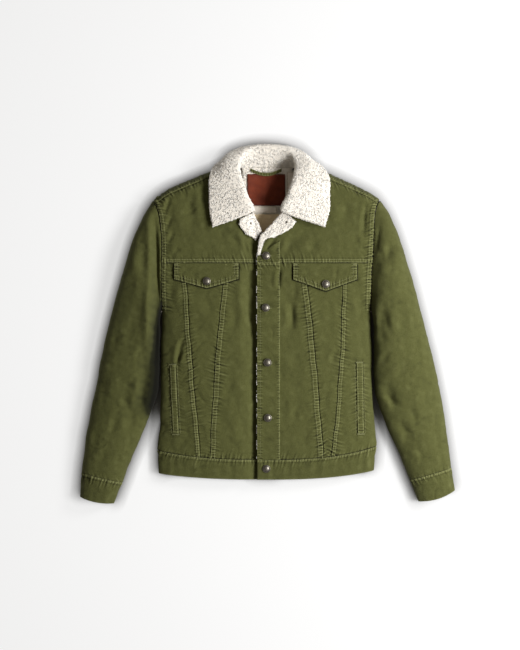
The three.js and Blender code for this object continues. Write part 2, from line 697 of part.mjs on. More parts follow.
function addCuff(side) {
  const sign = signOf(side);
  const start = SLEEVE[side][SLEEVE[side].length - 1];
  for (const over of [true, false]) {
    const point = (u, v) => {
      const row = {};
      for (const key of Object.keys(start)) row[key] = mix(start[key], CUFF_END[side][key], v);
      const w = closeToBoth(u);
      const p = section(row, sign, w, over);
      const bow = CUFF_BOW[side] * v * Math.sin(Math.PI * w);
      return p.add(new THREE.Vector3(sign * bow * CUFF_LEAN, -bow, 0));
    };
    add(
      `cuff_${over ? 'top' : 'under'}_${side}`,
      wall({
        point,
        cells: [over ? 12 : 10, 2],
        inside: -SLEEVE_WALL,
        trim: ['u0', 'u1', 'v0'],
        turned: over === (side === 'right'),
      }),
      'twill',
    );
  }
}

// The collar: sections from the wearer's right front corner, round the back, to the left one.
function addCollar() {
  const mirrored = COLLAR.map((row) => {
    const flip = ([x, y, z]) => [-x, y, z];
    const widen = ([x, y, z]) => [-x * row.wider, y, z];
    return { seam: flip(row.seam), roll: flip(row.roll), fall: widen(row.fall), edge: widen(row.edge) };
  });
  const rows = [...COLLAR.slice(1).reverse(), ...mirrored];
  const strips = ['seam', 'roll', 'fall', 'edge'].map((key) => {
    const points = rows.map((row) => new THREE.Vector3(...row[key]));
    return new THREE.CatmullRomCurve3(points, false, 'centripetal');
  });
  const point = (u, v) => {
    const across = strips.map((strip) => strip.getPoint(u));
    return new THREE.CatmullRomCurve3(across, false, 'centripetal').getPoint(v);
  };
  add(
    'collar',
    wall({ point, cells: [34, 12], outside: COLLAR_WALL / 2, inside: -COLLAR_WALL / 2, turned: true }),
    'sherpa',
  );
}

// What lies on the front is the front's own face, moved out.
function onFrontPatch(side, plan) {
  return (u, v) => {
    const [x, y] = plan(u, v);
    return onFront(side, x, y);
  };
}
// The placket strip runs up the left front's edge from the hem seam.
function addPlacket() {
  const point = onFrontPatch('left', (u, v) => {
    const x = mix(FRONT_EDGE_X, PLACKET_SEAM_X, u);
    const top = PLACKET_TOP_Y + PLACKET_TOP_SLOPE * (x - FRONT_EDGE_X);
    return [x, mix(hemSeamY(x) + SEAM_GAP, top, v)];
  });
  add(
    'placket',
    wall({
      point,
      cells: [3, 20],
      outside: SEAM_GAP + PLACKET_WALL,
      inside: SEAM_GAP,
    }),
    'twill',
  );
}

// The pocket flaps, pointed in the middle and lifted towards their free edge.
const FLAPS = {
  left: { fromX: 55.3, toX: 191.5, topY: 130, cornerY: 95.5, tipX: 124.7, tipY: 70.5 },
  right: { fromX: -61.7, toX: -199.2, topY: 130, cornerY: 96, tipX: -129.2, tipY: 76.5 },
};
const FLAP_LIFT = 2.6;
const FLAP_CELLS = [12, 3];
function flapPoint(side) {
  const f = FLAPS[side];
  const tipShare = (f.tipX - f.fromX) / (f.toX - f.fromX);
  return onFrontPatch(side, (u, v) => {
    const lower = u < tipShare ? mix(f.cornerY, f.tipY, u / tipShare) : mix(f.tipY, f.cornerY, (u - tipShare) / (1 - tipShare));
    return [mix(f.fromX, f.toX, u), mix(lower, f.topY, v)];
  });
}
function addFlaps() {
  for (const side of ['left', 'right']) {
    const lift = (u, v) => SEAM_GAP + FLAP_LIFT * (1 - v);
    add(
      `pocket_flap_${side}`,
      wall({
        point: flapPoint(side),
        cells: FLAP_CELLS,
        outside: (u, v) => lift(u, v) + FLAP_WALL,
        inside: lift,
        turned: side === 'right',
      }),
      'twill',
    );
  }
}

// The side pockets' welts.
const WELTS = {
  left: { fromX: 192, toX: 206, topX: 191, lowX: 194, fromY: -236, toY: -82, wide: 13 },
  right: { fromX: -196, toX: -208, topX: -197, lowX: -190, fromY: -237, toY: -87, wide: 12 },
};
function addWelts() {
  for (const side of ['left', 'right']) {
    const w = WELTS[side];
    const sign = signOf(side);
    const point = onFrontPatch(side, (u, v) => [mix(w.lowX, w.topX, v) + sign * u * w.wide, mix(w.fromY, w.toY, v)]);
    add(
      `pocket_welt_${side}`,
      wall({
        point,
        cells: [2, 8],
        outside: SEAM_GAP + WELT_WALL,
        inside: SEAM_GAP,
        turned: side === 'right',
      }),
      'twill',
    );
  }
}

// The fronts' top corners, turned out so that their sherpa shows, from the collar's notch down the front edge.
const LAPELS = {
  left: {
    lift: SEAM_GAP,
    rows: [
      { along: 0, rollX: 34, rollY: 242, edgeX: 61, edgeY: 219 },
      { along: 0.2, rollX: 20, rollY: 226, edgeX: 54, edgeY: 208 },
      { along: 0.4, rollX: 6, rollY: 210, edgeX: 36, edgeY: 195.5 },
      { along: 0.55, rollX: -7, rollY: 197, edgeX: 16, edgeY: 187 },
      { along: 0.7, rollX: -16, rollY: 185, edgeX: -3, edgeY: 181 },
      { along: 0.85, rollX: -20, rollY: 166, edgeX: -10, edgeY: 167 },
      { along: 1, rollX: -21.5, rollY: 147, edgeX: -16, edgeY: 149 },
    ],
  },
  right: {
    lift: 1.3,
    rows: [
      { along: 0, rollX: 32, rollY: 239, edgeX: 58, edgeY: 225 },
      { along: 0.25, rollX: 25.5, rollY: 228, edgeX: 60.5, edgeY: 215 },
      { along: 0.5, rollX: 19.5, rollY: 217, edgeX: 56.5, edgeY: 204 },
      { along: 0.75, rollX: 15, rollY: 206, edgeX: 43.5, edgeY: 192.5 },
      { along: 1, rollX: 12, rollY: 197, edgeX: 25, edgeY: 180 },
    ],
  },
};
function addLapels() {
  for (const side of ['left', 'right']) {
    const l = LAPELS[side];
    const [rollX, rollY, lowX, lowY] = ['rollX', 'rollY', 'edgeX', 'edgeY'].map((key) => curve(l.rows, 'along', key));
    const point = onFrontPatch(side, (u, v) => [
      signOf(side) * mix(rollX(u), lowX(u), v),
      mix(rollY(u), lowY(u), v),
    ]);
    add(
      `lapel_${side}`,
      wall({
        point,
        cells: [(l.rows.length - 1) * 2, 3],
        outside: l.lift + LAPEL_WALL,
        inside: l.lift,
        turned: side === 'right',
      }),
      'sherpa',
    );
  }
}

// What shows in the neck: the back's sherpa, the patch, the labels and the hanger loop.
const LINING = { fromX: -54, toX: 54, fromY: 150, toY: 334 };
const LINING_Z = BODY_WALL + 3 * SEAM_GAP;
const PATCH = { fromX: -43, toX: 38.7, fromY: 255.5, toY: 323.5 };
const SIZE_LABEL = { fromX: -34, toX: 20.4, fromY: 238, toY: 254.5 };
const LOOP_STANDS = 4;
const SIDE_LABEL = { fromX: 42, toX: 58, fromY: 282, toY: 328 };
function flatPiece(name, area, z, thick, cells, colour) {
  const point = (u, v) => new THREE.Vector3(mix(area.fromX, area.toX, u), mix(area.fromY, area.toY, v), z);
  add(name, wall({ point, cells, outside: thick, inside: 0 }), colour);
}
function addNeckPieces() {
  flatPiece('back_lining', LINING, LINING_Z, LINING_WALL, [6, 8], 'sherpa');
  const onLining = LINING_Z + LINING_WALL + SEAM_GAP;
  flatPiece('neck_patch', PATCH, onLining, LABEL_WALL * 1.5, [2, 2], 'patch');
  flatPiece('size_label', SIZE_LABEL, onLining, LABEL_WALL, [1, 1], 'label');
  flatPiece('side_label', SIDE_LABEL, onLining, LABEL_WALL, [1, 1], 'label');
  const loop = (u, v) => {
    const arch = Math.sin(Math.PI * u);
    return new THREE.Vector3(
      mix(-36, 31, u),
      mix(329, 336, v) - 10 * arch,
      onLining + LOOP_STANDS * arch,
    );
  };
  add('hanger_loop', wall({ point: loop, cells: [12, 1], outside: LOOP_WALL, inside: 0 }), 'twill');
}

// A domed button, standing on the face it is fixed to.
function buttonGeometry() {
  const profile = [
    [0, 0],
    [BUTTON_RADIUS * 0.8, 0],
    [BUTTON_RADIUS, 1.6],
    [BUTTON_RADIUS * 0.93, 3],
    [BUTTON_RADIUS * 0.62, BUTTON_HEIGHT * 0.85],
    [0, BUTTON_HEIGHT],
  ].map(([r, z]) => new THREE.Vector2(r, z));
  return new THREE.LatheGeometry(profile, 16).rotateX(Math.PI / 2);
}
function addButton(name, side, x, y, lift) {
  const at = onFront(side, x, y);
  const h = 2;
  const n = new THREE.Vector3(
    frontZ(x - h, y) - frontZ(x + h, y),
    frontZ(x, y - h) - frontZ(x, y + h),
    2 * h,
  ).normalize();
  const mesh = add(name, buttonGeometry(), 'metal');
  mesh.quaternion.setFromUnitVectors(new THREE.Vector3(0, 0, 1), n);
  mesh.position.copy(at.addScaledVector(n, lift));
}
const BUTTON_CLEAR = 0.5;
function addButtons() {
  PLACKET_BUTTONS.forEach((b, i) => {
    addButton(`placket_button_${i + 1}`, 'left', b.x, b.y, SEAM_GAP + PLACKET_WALL + BUTTON_CLEAR);
  });
  addButton('waistband_button', 'left', BAND_BUTTON.x, BAND_BUTTON.y, BUTTON_CLEAR);
  for (const side of ['left', 'right']) {
    const f = FLAPS[side];
    const y = f.tipY + 15;
    const lift = SEAM_GAP + FLAP_LIFT + FLAP_WALL + BUTTON_CLEAR;
    addButton(`flap_button_${side}`, side, f.tipX, y, lift);
  }
}

addFrontYokes();
addBackYoke();
addLowerBack();
addWaistband();
for (const side of ['left', 'right']) {
  addLowerFronts(side);
  addSleeve(side);
  addCuff(side);
}
addCollar();
addPlacket();
addFlaps();
addWelts();
addLapels();
addNeckPieces();
addButtons();

export default jacket;
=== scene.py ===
import math

import bpy
import numpy as np
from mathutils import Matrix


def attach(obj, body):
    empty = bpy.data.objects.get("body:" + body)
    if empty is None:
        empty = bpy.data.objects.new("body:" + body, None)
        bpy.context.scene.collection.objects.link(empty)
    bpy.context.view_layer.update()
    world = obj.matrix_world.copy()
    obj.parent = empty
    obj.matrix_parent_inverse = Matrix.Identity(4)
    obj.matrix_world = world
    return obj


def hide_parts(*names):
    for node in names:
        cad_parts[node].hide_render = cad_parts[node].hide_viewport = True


# A men's olive twill trucker jacket with a sherpa collar and lining, laid on its back and seen from straight
# above. Shapes are worked out in millimetres. +X is the wearer's left, whose front laps over the other one,
# +Y the collar and +Z up from the surface that the jacket lies on.
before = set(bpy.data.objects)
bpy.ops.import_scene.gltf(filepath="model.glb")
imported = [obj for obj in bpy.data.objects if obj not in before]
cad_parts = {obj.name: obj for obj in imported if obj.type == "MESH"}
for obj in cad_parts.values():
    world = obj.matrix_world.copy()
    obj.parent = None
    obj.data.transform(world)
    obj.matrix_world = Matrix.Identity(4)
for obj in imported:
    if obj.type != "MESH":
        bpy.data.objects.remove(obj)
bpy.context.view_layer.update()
MM = 0.001
LEFT, RIGHT = 1, -1
SIDES = {"left": LEFT, "right": RIGHT}

# Cloth walls, as in the solids.
BODY_WALL = 5.0
BAND_WALL = 4.0
SLEEVE_WALL = 4.0
COLLAR_WALL = 8.0
LAPEL_WALL = 6.0
LINING_WALL = 6.0
PLACKET_WALL = 2.0
FLAP_WALL = 2.4
WELT_WALL = 1.8
LABEL_WALL = 1.0
LOOP_WALL = 1.8
SEAM_GAP = 0.3

# How the jacket lies.
SHOULDER_FOLD_Z = 20.0
SHOULDER_FOLD_TOP = 30.0
SHOULDER_FOLD_BELOW = 24.0
SHOULDER_SEAM_FROM_FOLD = 14.0
NECK_HALF_WIDTH = 76.0
SIDE_FOLD_SHARE = 0.45
SIDE_ROUND_BELOW = 24.0
CROWN_POWER = 3.5
SLEEVE_POWER = 2.3
SLEEVE_FLAT_SHARE = 0.6
ARMPIT_Y = 26.0
ARMHOLE_TOP_Z = 42.0
ARMHOLE_RISE_TOP = 90.0
ARMHOLE_RISE_BELOW = 60.0
ARMHOLE_SOFT_START = 0.3
YOKE_SEAM_Y = 131.0
HEM_SEAM_Y = -291.3
HEM_Y = -334.8
HEM_HALF = 232.0
HEM_RISE = (19.0, 12.0)
HEM_SEAM_RISE = (27.0, 18.0)
HEM_POWER = 2.6

# The placket and the front edge.
FRONT_EDGE_X = -22.0
UNDER_EDGE_X = 24.0
PLACKET_SEAM_X = 27.0
UNDER_STEP = (-60.0, -25.0)
UNDER_DROP = BODY_WALL + 1.2
UNDER_DIP = 3.2
UNDER_DIP_FROM = -43.0
PLACKET_TOP_Y = 144.0
PLACKET_TOP_SLOPE = 0.72
PLACKET_CROSS_Y = 126.0

# Buttons.
BUTTON_RADIUS = 8.5
BUTTON_CLEAR = 0.5
PLACKET_BUTTONS = [(-2.5, 145.8), (-3.5, 34.8), (0.2, -82.4), (1.0, -200.8)]
BAND_BUTTON = (-2.0, -310.5)

# Height of the front at its crown, by y.
CROWN = [(-336, 34), (-292, 40), (-200, 48), (-60, 52), (131, 52), (250, 48), (350, 44)]

# Half widths of the body by y: the side up to the armpit, then the armhole seam.
EDGE = {
    "left": [
        (-336, 228.5), (-314, 230.5), (-264, 233.7), (-250, 234.6), (-191, 229.2), (-141, 225.4),
        (-43, 225.2), (26, 222.5), (80, 222), (133, 225.1), (181, 227.9), (234, 229.8), (256, 235.5),
        (266.6, 243),
    ],
    "right": [
        (-336, 233), (-320, 234.4), (-278, 236.5), (-252, 234.6), (-200, 230.8), (-142, 229.3), (-43, 228.2),
        (26, 226), (80, 227.4), (133, 226.8), (181, 226.8), (234, 232.5), (256, 240), (263.2, 244.5),
    ],
}
# The shoulders' fold lines: y by x.
SHOULDER = {
    "left": [(0, 351), (76, 346), (127, 325.6), (181, 302.5), (215, 286.5), (243, 267), (255, 254)],
    "right": [(0, 351), (76, 346.5), (127, 327), (181, 304.5), (215, 289), (244.5, 267), (256, 252)],
}
# Sections of the sleeves: outer x and y, inner x and y, height.
SLEEVE = {
    "left": [
        (243, 267, 223.2, 26, 50), (264.5, 232, 226.6, 6, 60), (285, 183, 227.2, -14, 64),
        (302.5, 127, 227.8, -36, 64), (318.5, 72, 228, -60, 62), (333, 17, 228, -86, 60),
        (346.5, -35, 228.3, -114, 58), (359, -84, 231.5, -148, 56), (369.5, -134, 244.5, -188, 54),
        (378.8, -186, 261.5, -230, 51), (388, -243, 282.5, -276, 47), (396, -309, 306.5, -335, 43),
    ],
    "right": [
        (244.5, 266.5, 226.7, 26, 50), (267.5, 229, 230.3, 6, 60), (289.5, 178, 230.8, -14, 64),
        (307, 123, 231.2, -36, 64), (322.5, 68, 231.6, -60, 62), (336.5, 14, 231.8, -86, 60),
        (350, -40, 232.4, -114, 58), (361.5, -94, 236.5, -150, 56), (371.5, -146, 250, -190, 54),
        (382, -200, 268.5, -234, 51), (392, -258, 288, -280, 47), (399.8, -320, 311.5, -341, 43),
    ],
}
CUFF_END = {"left": (404.6, -359, 325.7, -383, 38), "right": (404.6, -372.5, 331, -387.2, 38)}
CUFF_BOW = {"left": 5.0, "right": 3.5}
CUFF_LEAN = 0.25
ARMHOLE_GAP = 0.6
SHOULDER_POINT_GAP = 1.2
SEAM_FADE = 0.3

# The seams that narrow towards the hem: x by y.
FRONT_SEAMS = {
    "left": (
        [(-292, 121), (-216, 115), (-43, 100), (76, 87), (131, 83)],
        [(-292, 136), (-216, 145), (-43, 157.5), (76, 161), (131, 162)],
    ),
    "right": (
        [(-292, 123.5), (-153, 116), (-27, 107), (83, 94.5), (131, 92)],
        [(-292, 142), (-169, 154), (-75, 162), (83, 173), (131, 175)],
    ),
}
BACK_SEAM = [(-292, 84), (-80, 104), (131, 128)]

# The largest soft folds, as in the solids: both ends, half width and depth.
FOLDS = [
    (247, 60, 244, -45, 13, 7), (246, -120, 282, -190, 12, 7), (283, -205, 305, -255, 10, 5),
    (262, 190, 256, 120, 12, 4), (-247, 205, -254, 60, 15, 8), (-250, -20, -262, -150, 14, 7),
    (-285, -165, -300, -240, 11, 5), (205, 240, 208, 175, 8, 3), (-207, 262, -205, 190, 8, 3.5),
    (-160, 275, -163, 180, 9, 2.5), (40, 92, 52, -30, 10, 3.5), (-55, 75, -44, -80, 12, 3),
]
# Smaller creases of the fronts: both ends, half width, depth, bend, and the side that its ridge is on.
BODY_CREASES = [
    (212, 262, 207, 184, 4.5, 3.2, 2, 1), (166, 268, 163, 214, 9, 1.6, -3, 1),
    (118, 286, 112, 222, 10, 1.2, 3, -1), (201, 172, 217, 148, 4, 1.6, 1, 1),
    (196, 158, 211, 140, 4, 1.3, -1, 1), (188, 196, 199, 160, 6, 1.1, 2, -1),
    (22, 190, -4, 150, 5, 2.4, 2, 1), (33, 187, 14, 154, 6, 1.8, -2, -1),
    (60, 190, 38, 148, 8, 2.2, 3, 1), (84, 200, 56, 168, 9, 1.3, 2, -1),
    (104, 186, 92, 146, 9, 0.9, -3, 1), (-60, 212, -32, 158, 6, 2.6, -2, 1),
    (-50, 186, -38, 142, 4, 1.7, 2, -1), (-78, 196, -58, 152, 8, 1.2, -2, 1),
    (-207, 276, -221, 230, 4.5, 3.0, 1, 1), (-205, 232, -219, 196, 4.5, 2.8, 1, 1),
    (-199, 200, -215, 168, 4.5, 2.6, 1, 1), (-188, 168, -208, 140, 5, 1.6, -1, 1),
    (-161, 284, -168, 226, 9, 2.0, 2, -1), (-176, 294, -175, 262, 5, 1.3, 1, 1),
    (-138, 300, -142, 246, 8, 1.2, -2, 1), (-45, 52, -34, -6, 5, 2.0, 2, 1),
    (-36, 118, -40, 70, 6, 1.8, -2, -1), (-66, 40, -70, -26, 9, 1.2, 4, 1),
    (-76, -112, -90, -156, 9, 1.2, -4, 1), (-150, -146, -130, -172, 4, 1.1, 1, 1),
    (-176, -24, -192, -104, 5, 3.0, 6, 1), (-184, -52, -198, -88, 4, 1.5, -2, -1),
    (-216, -222, -233, -244, 4, 1.5, 1, 1), (-128, 60, -118, 10, 8, 0.9, 3, -1),
    (-120, -200, -112, -262, 8, 0.8, 2, 1), (-60, -190, -52, -262, 9, 1.2, -3, 1),
    (27, 122, 24, 74, 4, 3.6, 1, 1), (51, 48, 53, -12, 7, 4.6, -2, 1), (-44, 118, -28, -50, 9, 4.5, 3, 1),
    (62, 96, 60, 40, 7, 1.3, 3, -1), (73, -166, 55, -216, 8, 1.7, 4, 1),
    (54, -60, 66, -118, 9, 1.1, -3, 1), (86, -214, 78, -270, 8, 0.9, 2, -1),
    (155, -50, 134, -92, 5, 1.2, 2, 1), (126, 52, 134, 4, 8, 0.9, -3, 1),
    (129, -130, 124, -190, 7, 0.8, 2, -1), (196, 64, 204, 14, 8, 1.6, -3, 1),
    (206, -2, 200, -66, 8, 1.5, 3, -1), (214, -176, 226, -212, 5, 1.1, 1, 1),
    (178, -96, 186, -150, 6, 1.0, -2, 1), (-204, 96, -206, 40, 8, 1.6, 3, -1),
    (-208, -120, -214, -190, 6, 1.3, -2, 1), (176, -232, 200, -262, 5, 0.9, 1, -1),
    (-168, -238, -196, -268, 6, 1.0, -1, 1),
]
CREASE_STRENGTH = 1.45
# Creases of the sleeves, the same way.
SLEEVE_CREASES = [
    (267, 172, 257, 138, 9, 3.2, 3, 1), (236, 156, 252, 142, 6, 2.0, 1, -1),
    (264, 130, 259, 104, 8, 2.2, -2, 1), (240, 214, 233, 150, 5, 2.6, 1, 1),
    (296, 120, 306, 60, 12, 1.5, 4, 1), (281, 40, 292, -30, 11, 1.7, -4, 1),
    (252, 26, 268, -30, 6, 1.8, 3, -1), (262, -60, 240, -92, 7, 2.6, 2, 1),
    (318, -20, 330, -84, 11, 1.6, 3, -1), (250, -150, 276, -176, 6, 2.6, -2, 1),
    (300, -84, 276, -118, 7, 1.6, 2, 1), (338, -118, 350, -190, 10, 1.5, 3, 1),
    (300, -178, 320, -214, 7, 1.8, -2, -1), (290, -222, 316, -238, 5, 1.6, 1, 1),
    (352, -212, 366, -276, 8, 1.2, -2, 1), (318, -262, 338, -292, 6, 1.3, 1, 1),
    (372, -282, 380, -318, 6, 0.9, 1, -1), (330, -40, 316, 30, 10, 1.0, -3, 1),
    (-240, 244, -238, 52, 8, 11.0, -2, 1), (-237, 120, -237, -112, 9, 13.0, 2, 1),
    (-266, -92, -276, -196, 9, 5.0, -3, 1), (-304, -150, -295, -188, 7, 2.4, 2, 1),
    (-290, -232, -299, -272, 8, 1.9, -2, -1), (-262, 176, -266, 96, 10, 2.4, 4, 1),
    (-290, 120, -303, 50, 11, 1.6, -4, 1), (-281, 20, -300, -60, 12, 1.8, 4, -1),
    (-320, 0, -334, -70, 10, 1.4, -3, 1), (-256, -46, -284, -76, 6, 2.2, 2, 1),
    (-272, -108, -304, -134, 6, 1.8, -2, 1), (-342, -100, -352, -176, 9, 1.5, 3, -1),
    (-322, -196, -338, -240, 7, 1.6, -2, 1), (-306, -276, -330, -300, 6, 1.4, 1, 1),
    (-362, -214, -374, -280, 8, 1.2, 2, 1), (-350, -262, -358, -300, 7, 0.9, -2, -1),
    (-278, 214, -270, 168, 9, 1.5, -2, 1),
]
SLEEVE_CREASE_STRENGTH = 1.2
# Painted shade on a sleeve where it sinks in beside the body: lowest and highest y, width and how strongly it
# darkens.
SLEEVE_PAINTED_SHADE = {"left": (-190, 200, 9, 0.9), "right": (-215, 245, 22, 2.4)}
# Creases of the back, which lies on the surface: both ends, half width and how far it stands off.
BACK_CREASES = [
    (-150, 96, -96, -12, 14, 1.7), (128, 84, 84, -22, 13, 1.5), (-60, -90, -84, -228, 15, 1.3),
    (70, -108, 92, -240, 14, 1.6), (-12, 60, 8, -70, 16, 1.2), (150, -150, 166, -244, 10, 1.2),
    (-176, -60, -160, -170, 11, 1.3), (0, 250, 20, 168, 15, 1.4), (-120, 244, -150, 170, 12, 1.5),
    (116, 250, 146, 174, 12, 1.4),
]

# Sections of the collar from the middle of the back to the wearer's right front corner: how much wider the
# other leaf is, then the neck seam, the roll, the middle of the fall and the outer edge.
COLLAR = [
    (1, (0, 338, 4.4), (0, 381, 26), (0, 382.8, 10), (0, 358, 4.4)),
    (1, (-34, 337.6, 4.7), (-31, 378.5, 27), (-36, 380.5, 11), (-34, 356, 4.5)),
    (0.97, (-56, 338, 8), (-51, 368, 32), (-63, 375.5, 16), (-59, 355, 5)),
    (0.97, (-70.5, 342, 20), (-61, 346, 43), (-84, 363, 29), (-89, 352, 11)),
    (1.02, (-71, 326, 40), (-60, 321, 57), (-91, 335, 52), (-114, 338.5, 31)),
    (1.07, (-64.5, 301, 45), (-52, 295, 64), (-88, 308, 62), (-124, 311, 53)),
    (1.07, (-55.5, 277, 46), (-42.5, 269, 65), (-84, 278, 63), (-124.6, 279, 56)),
    (1.07, (-45.5, 261, 46), (-35, 255, 65), (-80, 252, 63), (-124, 244, 56.5)),
    (1.05, (-35, 249, 47), (-29.5, 241, 63.5), (-66, 224.5, 61.5), (-117, 207, 57)),
]
# The front edge and neckline of each yoke: share of the way up, x out from the middle, y.
NECKLINE_ABOVE = [
    (0.55, 31.5, 240), (0.66, 49, 256), (0.77, 62.5, 277), (0.89, 71, 302), (1, NECK_HALF_WIDTH, 332),
]
NECKLINE = {
    "left": [
        (0, -22, 131), (0.1, -22, 150), (0.18, -20.5, 167), (0.27, -16.5, 185), (0.34, -7.5, 197),
        (0.44, 9, 213), *NECKLINE_ABOVE,
    ],
    "right": [
        (0, -24, 131), (0.1, -22, 150), (0.2, -8, 172), (0.3, 9.5, 196), (0.42, 19, 217), *NECKLINE_ABOVE,
    ],
}
# The fronts' turned-out corners: share of the way down, the roll's x and y, the edge's x and y.
LAPELS = {
    "left": [
        (0, 34, 242, 61, 219), (0.2, 20, 226, 54, 208), (0.4, 6, 210, 36, 195.5), (0.55, -7, 197, 16, 187),
        (0.7, -16, 185, -3, 181), (0.85, -20, 166, -10, 167), (1, -21.5, 147, -16, 149),
    ],
    "right": [
        (0, 32, 239, 58, 225), (0.25, 25.5, 228, 60.5, 215), (0.5, 19.5, 217, 56.5, 204),
        (0.75, 15, 206, 43.5, 192.5), (1, 12, 197, 25, 180),
    ],
}
LAPEL_LIFT = {"left": SEAM_GAP, "right": 1.3}
LAPEL_TACKS = {"left": (41.7, 217.5), "right": (-34.8, 215)}

# Pocket flaps: both ends, the top, the corners and the tip.
FLAPS = {"left": (55.3, 191.5, 130, 95.5, 124.7, 70.5), "right": (-61.7, -199.2, 130, 96, -129.2, 76.5)}
FLAP_LIFT = 2.6
FLAP_ROWS = (2.2, 8.2)
FLAP_EDGE_SLOPE = 0.95
FLAP_BUTTON_ABOVE_TIP = 15.0
FLAP_CREASES = [
    (150, 122, 147, 92, 4, 1.1, 1, 1), (-150, 118, -156, 92, 6, 0.7, 1, -1), (84, 122, 88, 98, 6, 0.6, -1, 1),
]
# Side pocket welts: x at the top and at the bottom, y at the bottom and at the top, width.
WELTS = {"left": (191, 194, -236, -82, 13), "right": (-197, -190, -237, -87, 12)}
# What shows in the neck: both x, both y.
LINING = (-54, 54, 150, 337.3)
LINING_Z = BODY_WALL + 3 * SEAM_GAP
NECK_FACING_Y = 237.0
PATCH = (-43, 38.7, 255.5, 323.5)
SIZE_LABEL = (-34, 20.4, 238, 254.5)
SIDE_LABEL = (42, 58, 282, 328)
LOOP = (-36, 31, 329, 336)
LOOP_DIPS = 10.0
LOOP_STANDS = 4.0

# Stitches.
STITCH_PITCH = 3.3
STITCH_LONG = 2.6
STITCH_RADIUS = 0.42
FELL_WIDE = 8.5
FELL_ROWS = (2.2, 7.0)
INNER_WIDE = 11.0
INNER_ROWS = (2.2, 9.5)
RUNG_PITCH = 5.4
PUCKER_DEPTH = 1.45
# Finer threads: pitch, length and radius.
BUTTONHOLE_THREAD = (0.75, 1.5, 0.34)
BAR_TACK_THREAD = (0.9, 1.2, 0.36)
BUTTONHOLE_HALF = 12.5
BUTTONHOLE_OFF = 1.3

# Rounds in which a place on a bent edge settles.
EDGE_ROUNDS = 5
ARMHOLE_ROUNDS = 12


def mix(a, b, t):
    return a + (b - a) * t


def smooth(t):
    t = np.clip(t, 0, 1)
    return t * t * (3 - 2 * t)


def between(t, low, high, soft):
    """1 from low to high, fading to 0 over `soft` outside."""
    return smooth((t - low) / soft + 1) * smooth((high - t) / soft + 1)


def bell(t):
    return np.exp(-t * t)


def round_rise(t):
    """A quarter circle's rise from 0 to 1."""
    return np.sqrt(np.maximum(0, 1 - (1 - np.clip(t, 0, 1)) ** 2))


def close_to_end(t):
    return np.sin(t * np.pi / 2)


def close_to_both(t):
    return (1 - np.cos(t * np.pi)) / 2


def curve(rows, by=0, of=1):
    """A smooth curve through a table's rows."""
    at = np.array([row[by] for row in rows], float)
    value = np.array([row[of] for row in rows], float)
    before = np.maximum(np.arange(len(at)) - 1, 0)
    after = np.minimum(np.arange(len(at)) + 1, len(at) - 1)
    slope = (value[after] - value[before]) / (at[after] - at[before])

    def read(t):
        t = np.asarray(t, float)
        i = np.clip(np.searchsorted(at, t) - 1, 0, len(at) - 2)
        step = at[i + 1] - at[i]
        s = np.clip((t - at[i]) / step, 0, 1)
        rise = (s**3 - 2 * s**2 + s) * step * slope[i] + (s**3 - s**2) * step * slope[i + 1]
        return (2 * s**3 - 3 * s**2 + 1) * value[i] + (3 * s**2 - 2 * s**3) * value[i + 1] + rise

    return read


def spline(points, t):
    """A centripetal spline through points, whose first axis runs along it, read at t from 0 to 1."""
    points = np.asarray(points, float)
    last = len(points) - 1
    ends = np.concatenate([[2 * points[0] - points[1]], points, [2 * points[-1] - points[-2]]])
    place = np.clip(np.asarray(t, float), 0, 1) * last
    i = np.minimum(place.astype(int), last - 1)
    s = (place - i).reshape((-1,) + (1,) * (points.ndim - 1))
    a, b, c, d = (ends[i + k] for k in range(4))
    ab, bc, cd = (np.sqrt(np.linalg.norm(q - p, axis=-1, keepdims=True)) for p, q in ((a, b), (b, c), (c, d)))
    start = ((b - a) / ab - (c - a) / (ab + bc) + (c - b) / bc) * bc
    end = ((c - b) / bc - (d - b) / (bc + cd) + (d - c) / cd) * bc
    return b + start * s + (3 * (c - b) - 2 * start - end) * s**2 + (2 * (b - c) + start + end) * s**3


def ripple(x, y, wavelength, seed, count=9):
    """Soft unevenness between about -1 and 1, with no direction."""
    rng = np.random.default_rng(seed)
    total = np.zeros_like(x, float)
    for _ in range(count):
        turn = rng.uniform(0, 2 * np.pi)
        wave = 2 * np.pi / (wavelength * rng.uniform(0.7, 1.5))
        total += np.sin((x * math.cos(turn) + y * math.sin(turn)) * wave + rng.uniform(0, 2 * np.pi))
    return total / math.sqrt(count)


def wavering(read, seed):
    """A seam's line, which wanders a little as it was sewn."""
    return lambda t: read(t) + 0.55 * np.sin(t / 21 + seed) + 0.35 * np.sin(t / 8.3 + 2 * seed)


def by_side(left, right):
    return lambda x, t: np.where(np.asarray(x) >= 0, left(t), right(t))


crown_z = curve(CROWN)
edge_at = {side: curve(EDGE[side]) for side in SIDES}
shoulder_at = {side: curve(SHOULDER[side]) for side in SIDES}
edge_x = by_side(edge_at["left"], edge_at["right"])
inner_at = {side: wavering(curve(FRONT_SEAMS[side][0]), SIDES[side]) for side in SIDES}
outer_at = {side: wavering(curve(FRONT_SEAMS[side][1]), 3 + SIDES[side]) for side in SIDES}
inner_x = by_side(inner_at["left"], inner_at["right"])
outer_x = by_side(outer_at["left"], outer_at["right"])
back_seam_x = curve(BACK_SEAM)


def shoulder_y(x):
    return by_side(shoulder_at["left"], shoulder_at["right"])(x, np.abs(x))


def risen(x, base, rise):
    return base + np.where(np.asarray(x) >= 0, *rise) * np.abs(np.asarray(x) / HEM_HALF) ** HEM_POWER


def hem_y(x):
    return risen(x, HEM_Y, HEM_RISE)


def hem_seam_y(x):
    return risen(x, HEM_SEAM_Y, HEM_SEAM_RISE)


